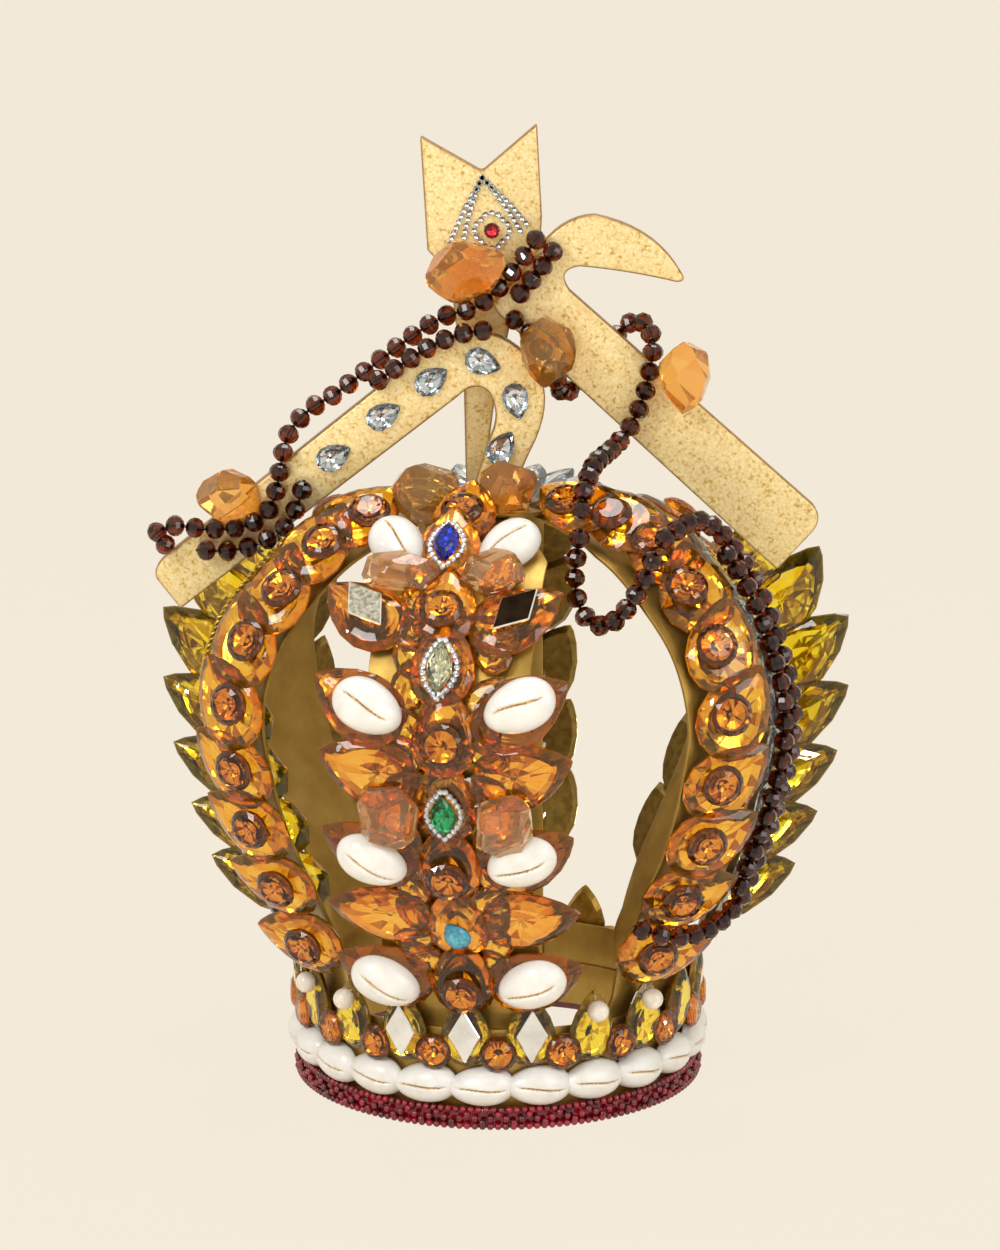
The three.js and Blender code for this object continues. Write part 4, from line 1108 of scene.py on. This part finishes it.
CROOK_STEPS = [(-118.5, 181), (-15, 261), (-8, 268, -3, 262), (1, 254, -3, 246), (-9, 228),
               (-9, BOARD_FOOT), (5, BOARD_FOOT), (8, 233, 14, 245), (22, 264, 11, 276),
               (-4, 292, -25, 280), (-121, 203.5), (-130, 197, -127, 192)]
HOOK_STEPS = [(-2.3, 294.6), (-0.1, 290.8), (104.3, 194.4), (117.6, 209), (121.5, 214, 117.6, 219),
              (26.5, 299.5), (21, 307, 30, 308.4), (48, 306.8, 65.5, 302.6),
              (70, 302.5, 67.5, 306), (58, 323, 35.5, 327.4), (21, 327, 11, 309)]
TAIL_STEPS = [(-12, BOARD_FOOT), (-6, BOARD_FOOT), (-0.8, 261), (8, 302), (15.4, 312),
              (16.2, 326), (14.3, 360), (-5.9, 342.7), (-28.7, 355.6), (-26.2, 313.5),
              (-18, 304.5), (-12.8, 262)]
CROOK_FRONT, HOOK_FRONT, TAIL_FRONT = -10.3, -3.0, 4.3
dress(make_board("crook", CROOK_STEPS, CROOK_FRONT), gilding, "gilded_board", "crook_board")
dress(make_board("hooked_tool", HOOK_STEPS, HOOK_FRONT), gilding, "gilded_board", "hook_board")
dress(make_board("swallow_tail", TAIL_STEPS, TAIL_FRONT), gilding, "gilded_board",
      "swallowtail_board")

# %% Stones on the boards


def board_seat(front, x, z, angle, lift=0.0):
    """The seat of a stone on a board's front face, its tip at an angle in degrees."""
    a = math.radians(angle)
    return seat(Vector((x, front - lift, z)), Vector((0, -1, 0)),
                Vector((math.cos(a), 0, math.sin(a))))


# Each pear stone is its x, its z and the angle of its tip.
PEARS = [(-60.7, 239, 28), (-42.1, 254.4, 30), (-24.4, 267.4, 36), (-5.6, 274.1, -20),
         (6.6, 259.6, -78), (1.4, 242.4, 58)]
dress(copies(pear_blank, "crook_pears",
             [board_seat(CROOK_FRONT, x, z, angle) for x, z, angle in PEARS], 91),
      clear_stone, "clear_glass")

RED_X, RED_Z = -2.3, 321
red_blank = cut_stone("red_blank", round_outline, 6, 6, 3, corners=12)
dress(copies(red_blank, "tail_red_stone", [board_seat(TAIL_FRONT, RED_X, RED_Z, 90, 0.6)], 92),
      red_stone, "red_beads")

APEX_X, APEX_Z = -5.9, 340.5
CHAIN_ENDS = [(-19.6, 311.8), (-13, 316.2), (10.3, 323.6), (8.1, 321)]
CHAIN_PITCH, CHAIN_SAG = 2.35, 0.8
LOZENGE_STONES, LOZENGE_REACH, LOZENGE_TIPS = 16, 5.6, 0.9
chain_seats = []
for x, z in CHAIN_ENDS:
    count = round(math.hypot(x - APEX_X, z - APEX_Z) / CHAIN_PITCH)
    for k in range(count + 1):
        t = k / count
        sag = CHAIN_SAG * math.sin(math.pi * t) * (1 if x > APEX_X else -1)
        chain_seats.append(board_seat(TAIL_FRONT, APEX_X + (x - APEX_X) * t + sag,
                                      APEX_Z + (z - APEX_Z) * t, 90, 0.5))
for k in range(LOZENGE_STONES):
    t = 2 * math.pi * k / LOZENGE_STONES
    reach = LOZENGE_REACH + LOZENGE_TIPS * abs(math.cos(2 * t))
    chain_seats.append(board_seat(TAIL_FRONT, RED_X + reach * math.cos(t),
                                  RED_Z + reach * math.sin(t), 90, 0.4))
dress(copies(rhinestone_blank, "tail_rhinestones", chain_seats, 93), rhinestone, "clear_glass")

# %% [markdown]
# ## The bead strand
# The beads are fire-polished glass, eight millimetres across and a little shorter along the
# thread. One bead is a low sphere with flat facets, copied along the thread's line. The thread
# itself shows as a thin dark line between the beads.

# %% Beads and thread
BEAD_RADIUS, BEAD_FLAT, BEAD_PITCH, THREAD_RADIUS = 4, 0.9, 7.4, 0.6
bpy.ops.mesh.primitive_uv_sphere_add(segments=10, ring_count=7, radius=BEAD_RADIUS * MM)
bead_blank = bpy.context.object
bead_blank.data.attributes.new("tone", "FLOAT", "FACE")
bpy.ops.transform.resize(value=(1, 1, BEAD_FLAT))
bpy.ops.object.transform_apply(scale=True)
finish_blank(bead_blank, "bead_blank")


def make_wires(name, routes, radius, resolution):
    """Round wires along routes of points, as one mesh. Sizes in millimetres."""
    curve = bpy.data.curves.new(name, "CURVE")
    curve.dimensions = "3D"
    curve.bevel_depth = radius * MM
    curve.bevel_resolution = resolution
    curve.use_fill_caps = True
    for route in routes:
        spline = curve.splines.new("POLY")
        spline.points.add(len(route) - 1)
        for spot, point in zip(spline.points, route):
            spot.co = (*(point * MM), 1)
    obj = bpy.data.objects.new(name, curve)
    bpy.context.scene.collection.objects.link(obj)
    bpy.ops.object.select_all(action="DESELECT")
    obj.select_set(True)
    bpy.context.view_layer.objects.active = obj
    bpy.ops.object.convert(target="MESH")
    return bpy.context.object


def make_strand(name, route, seed):
    """Beads threaded along a route, each turned a little, and their thread."""
    line = SmoothLine(route)
    count = round(line.length / BEAD_PITCH)
    dice = random.Random(seed)
    seats = []
    side = Vector((0, 1, 0))
    for k in range(count):
        point, way = line.at((k + 0.5) / count)
        side = (side - way * side.dot(way)).normalized()
        spin = Matrix.Rotation(dice.uniform(0, 0.6), 4, "Z")
        seats.append(seat(point, way, side) @ spin)
    beads = copies(bead_blank, name, seats, seed)
    steps = 4 * count
    middle = [line.at(k / steps)[0] for k in range(steps + 1)]
    thread = make_wires(name + "_thread", [middle], THREAD_RADIUS, 1)
    thread.data.attributes.new("tone", "FLOAT", "FACE")
    return join([beads, thread])


LOOP_ANGLE, LOOP_ACROSS = 49, -23.5
LOOP_OUT, LOOP_SIDE = directions(LOOP_ANGLE)


def loop_point(r, z):
    """A point of the loop's plane, from its distance out and its height."""
    return LOOP_OUT * r + LOOP_SIDE * LOOP_ACROSS + UP * z


LOOP_ROUTE = [(59.6, 220.8), (58.4, 213), (57.2, 206), (57.2, 199), (59.4, 192), (64, 187.4),
              (70.5, 186.6), (77, 190), (82.6, 196), (87.5, 203), (91.4, 210), (94.4, 216.6)]
STRANDS = {
    "strand_crook": [
        (-120, -15.6, 205), (-127.5, -14.5, 209.5), (-121, -15.6, 213.6), (-108, -15.6, 212.6),
        (-95, -15.6, 213.4), (-86, -15.6, 218), (-82, -15.4, 227), (-80, -15.4, 237),
        (-77, -10, 248), (-69, -7, 256.4), (-61, -7, 261.2), (-51, -7, 268.6), (-40, -7, 277),
        (-30, -7, 284.4), (-20, -7.6, 290.6), (-9, -8.4, 294), (0, -8.4, 301), (8, -8.4, 311),
        (16, -8.4, 322)],
    "strand_hook": [
        (3, -8, 291.4), (9.5, -8.4, 287), (15.5, -9, 279.5), (20.4, -8.6, 270.4), (24, 1.6, 261),
        (29.6, 9.2, 262.4), (36, 9.4, 270), (42.6, 9.4, 279), (48.6, 6.4, 286), (54.6, -1, 286.6),
        (57, -7.8, 280), (56, -8, 271), (54, -8, 262), (50, -9, 252), (44.6, -14, 245),
        (40, -24, 242.6), (36, -35, 241.4), (33, -45.6, 238.6), (30.6, -54, 232.4),
        loop_point(60.4, 224)],
    "strand_arm": [
        loop_point(95.8, 220.2), (64, -72, 223.4), (70, -64, 225), (77, -56, 221.6),
        (83.8, -50, 214), (89.7, -47, 205.2), (95, -48, 195.6), (99.5, -51, 184.8),
        (103.1, -54, 173), (106.1, -55, 161.3), (107.1, -55, 147.8), (105.8, -54.2, 134.3),
        (102.8, -53.6, 121), (98.9, -52.2, 107.5), (95.1, -50, 96), (90.4, -53, 84.6),
        (83.6, -62, 77.6), (74, -72.6, 74.4), (65, -79.6, 74.6), (56, -82.4, 77),
        (48.6, -82.2, 79.4)],
}
# In places the strand lies doubled: the second row lies close beside the first.
SECOND_ROWS = {
    "beads_handle_second": [
        (-112, -15.6, 204.6), (-100, -15.6, 204.4), (-89, -15.6, 207), (-79, -15.6, 213),
        (-74, -15.4, 222), (-71.5, -15.4, 231)],
    "beads_crest_second": [
        (-47, -14.6, 266), (-36, -14.6, 273.5), (-25, -14.8, 280.5), (-14, -15, 285),
        (-2, -15.2, 287)],
    "beads_tail_second": [(6, -8.6, 296.6), (14, -8.6, 306.4), (22, -8.6, 317.4)],
    "beads_arm_second": [
        Vector(p) - LOOP_SIDE * 8.2 + LOOP_OUT * 2.6 for p in STRANDS["strand_arm"][4:16]],
}
for number, (name, route) in enumerate(SECOND_ROWS.items()):
    dress(make_strand(name, route, 120 + number), dark_bead, "dark_beads")
dress(make_strand("bead_loop", [loop_point(r, z) for r, z in LOOP_ROUTE], 101),
      dark_bead, "dark_beads", "strand_loop", body="bead_loop")
for number, (node, route) in enumerate(STRANDS.items()):
    dress(make_strand(node.replace("strand", "beads"), route, 102 + number),
          dark_bead, "dark_beads", node)

# %% [markdown]
# ## The red beaded foot
# The foot is a net of small red beads sewn round the ring: two closed rows and, between them,
# beads that zigzag like the threads of the net.

# %% Red bead net
bpy.ops.mesh.primitive_ico_sphere_add(subdivisions=2, radius=1.35 * MM)
seed_bead = finish_blank(bpy.context.object, "seed_bead_blank", 60)


def ring_spot(angle, radius, z):
    """The place of a bead on the net."""
    return Matrix.Translation((directions(angle)[0] * radius + UP * z) * MM)


# The beads of each closed row, and how the zigzag between them runs.
NET_BEADS, FOOT_ROW, TOP_ROW, TOP_SHIFT = 168, (76.6, 1.36), (75.4, 7.2), 0.9
ZIGZAG_RADIUS, ZIGZAG_IN, ZIGZAG_Z = 77.2, 0.6, 2.9
net = []
for k in range(NET_BEADS):
    angle = 360 * k / NET_BEADS
    wave = abs((k % 4) - 2) / 2
    net += [ring_spot(angle, *FOOT_ROW), ring_spot(angle + TOP_SHIFT, *TOP_ROW),
            ring_spot(angle, ZIGZAG_RADIUS - wave * ZIGZAG_IN, ZIGZAG_Z + ZIGZAG_Z * wave)]
dress(copies(seed_bead, "red_bead_net", net, 111), red_bead, "red_beads", "red_bead_trim")

# %% Cloth band under the net
dress(wall("net_tape", 74.8, 2.2, 0, 7.6, edge=0.4), red_bead, "red_beads")

# %% [markdown]
# ## Gold braid
# A thin braid of gold wire runs up the outer edge of each front side band, behind the clear
# stones. It is three strands that cross over one another, made as three curves round one line.

# %% Braid
BRAID_WIRES, BRAID_PITCH, BRAID_REACH, BRAID_WIDER = 3, 7.0, 0.9, 1.6
BRAID_STEP, WIRE_RADIUS = 0.9, 0.55


def make_braid(name, places):
    """Wires that wind round a smooth line, as one mesh."""
    line = SmoothLine(places)
    steps = round(line.length / BRAID_STEP)
    routes = []
    for wire in range(BRAID_WIRES):
        side = Vector((0, 1, 0))
        route = []
        for k in range(steps + 1):
            point, way = line.at(k / steps)
            side = (side - way * side.dot(way)).normalized()
            a = 2 * math.pi * (k / steps * line.length / BRAID_PITCH + wire / BRAID_WIRES)
            route.append(point + side * BRAID_REACH * BRAID_WIDER * math.sin(a)
                         + way.cross(side) * BRAID_REACH * math.sin(2 * a))
        routes.append(route)
    return finish_mesh(make_wires(name, routes, WIRE_RADIUS, 2), name, 50)


for word, (band, side, _, _) in ROWS.items():
    places = [on_band(band, s, side * 37.5, -1.0)[0] for s in range(52, 216, 9)]
    dress(make_braid("gold_braid_" + word, places), gold_wire, "gold_metal")

# %% [markdown]
# ## Studio
# The crown stands on a pale cream sheet that curves up behind it. The sheet shows its colour to
# the camera evenly and keeps only a faint part of its shading, so that the crown's shadow stays
# soft. One large lamp stands high on the left, a wider and weaker one on the right and a third
# behind, over the crown. Six small ones all round put sparks on the facets.

# %% Sheet
CREAM = "#F5EBDA"
FLAT_SHARE = 0.95


def paper():
    material, tree = new_material("cream paper roll")
    seen = add_node(tree, "LightPath")
    flat = add_node(tree, "Emission", Color=linear(CREAM), Strength=1.0)
    lit = add_node(tree, "BsdfDiffuse", Color=linear(CREAM))
    direct = add_node(tree, "Math", {"operation": "MAXIMUM"}, _0=seen.outputs["Is Camera Ray"],
                      _1=seen.outputs["Is Glossy Ray"])
    also = add_node(tree, "Math", {"operation": "MAXIMUM"}, _0=direct,
                    _1=seen.outputs["Is Transmission Ray"])
    share = add_node(tree, "Math", {"operation": "MULTIPLY"}, _0=also, _1=FLAT_SHARE)
    mix = add_node(tree, "MixShader", _0=share, _1=lit, _2=flat)
    return finish_with(material, mix)


# In metres: the sheet's length and front end, where it bends up, the bend's radius, half its width.
LONG, FRONT_END, BEND, RADIUS, HALF_WIDE = 7.0, -2.5, 1.6, 1.2, 3.5
bpy.ops.mesh.primitive_grid_add(x_subdivisions=2, y_subdivisions=48, size=2)
sheet = bpy.context.object
for vertex in sheet.data.vertices:
    way = (vertex.co.y + 1) / 2 * LONG + FRONT_END
    a = (way - BEND) / RADIUS
    if a <= 0:
        y, z = way, 0
    elif a <= math.pi / 2:
        y, z = BEND + RADIUS * math.sin(a), RADIUS * (1 - math.cos(a))
    else:
        y, z = BEND + RADIUS, RADIUS + way - BEND - RADIUS * math.pi / 2
    vertex.co = (vertex.co.x * HALF_WIDE, y, z)
for face in sheet.data.polygons:
    face.use_smooth = True
sheet.name = "paper_sheet"
sheet.data.materials.append(paper())
sheet.select_set(False)

# %% Lamps


def lamp(name, place, size, watts):
    """A square white lamp at a place in metres, turned to the crown."""
    data = bpy.data.lights.new(name, "AREA")
    data.shape = "SQUARE"
    data.size = size
    data.energy = watts
    obj = bpy.data.objects.new(name, data)
    bpy.context.scene.collection.objects.link(obj)
    obj.location = place
    obj.rotation_euler = (AIM - Vector(place)).to_track_quat("-Z", "Y").to_euler()


lamp("key_softbox", (-0.9, -1.15, 1.15), 0.6, 11)
lamp("fill_softbox", (1.2, -1.0, 0.7), 0.8, 6)
lamp("top_softbox", (0.1, 0.3, 1.5), 0.5, 6)
for k, (x, y, z) in enumerate([(-0.5, -1.4, 0.45), (0.55, -1.3, 0.95), (-1.3, -0.4, 0.6),
                               (1.35, -0.5, 0.35), (0.0, -1.2, 1.3), (-0.2, -1.5, 0.05)]):
    lamp("sparkle_" + str(k + 1), (x, y, z), 0.07, 0.7)

# The room is a little darker on the camera's side, and gives only half its light to matt surfaces.
world = bpy.data.worlds.new("studio")
world.use_nodes = True
bpy.context.scene.world = world
tree = world.node_tree
tree.nodes.clear()
seen = add_node(tree, "LightPath")
way = add_node(tree, "TexCoord")
parts = add_node(tree, "SeparateXYZ", _0=way.outputs["Generated"])
room = add_node(tree, "MapRange", _0=parts.outputs["Y"], From_Min=-0.8, From_Max=0.2,
                To_Min=0.8, To_Max=1.0)
mirrored = add_node(tree, "Math", {"operation": "MAXIMUM"}, _0=seen.outputs["Is Glossy Ray"],
                    _1=seen.outputs["Is Transmission Ray"])
indirect = add_node(tree, "MapRange", _0=mirrored, To_Min=0.5, To_Max=room)
strength = add_node(tree, "MapRange", _0=seen.outputs["Is Camera Ray"],
                    To_Min=indirect, To_Max=1.0)
sky = add_node(tree, "Background", Color=linear(CREAM), Strength=strength)
add_node(tree, "OutputWorld", Surface=sky)
bpy.context.scene.view_settings.view_transform = "Standard"

# %% [markdown]
# ## Clearing up
# The blanks have done their work and go.

# %% Remove the blanks
for blank in MASTERS:
    bpy.data.objects.remove(blank)
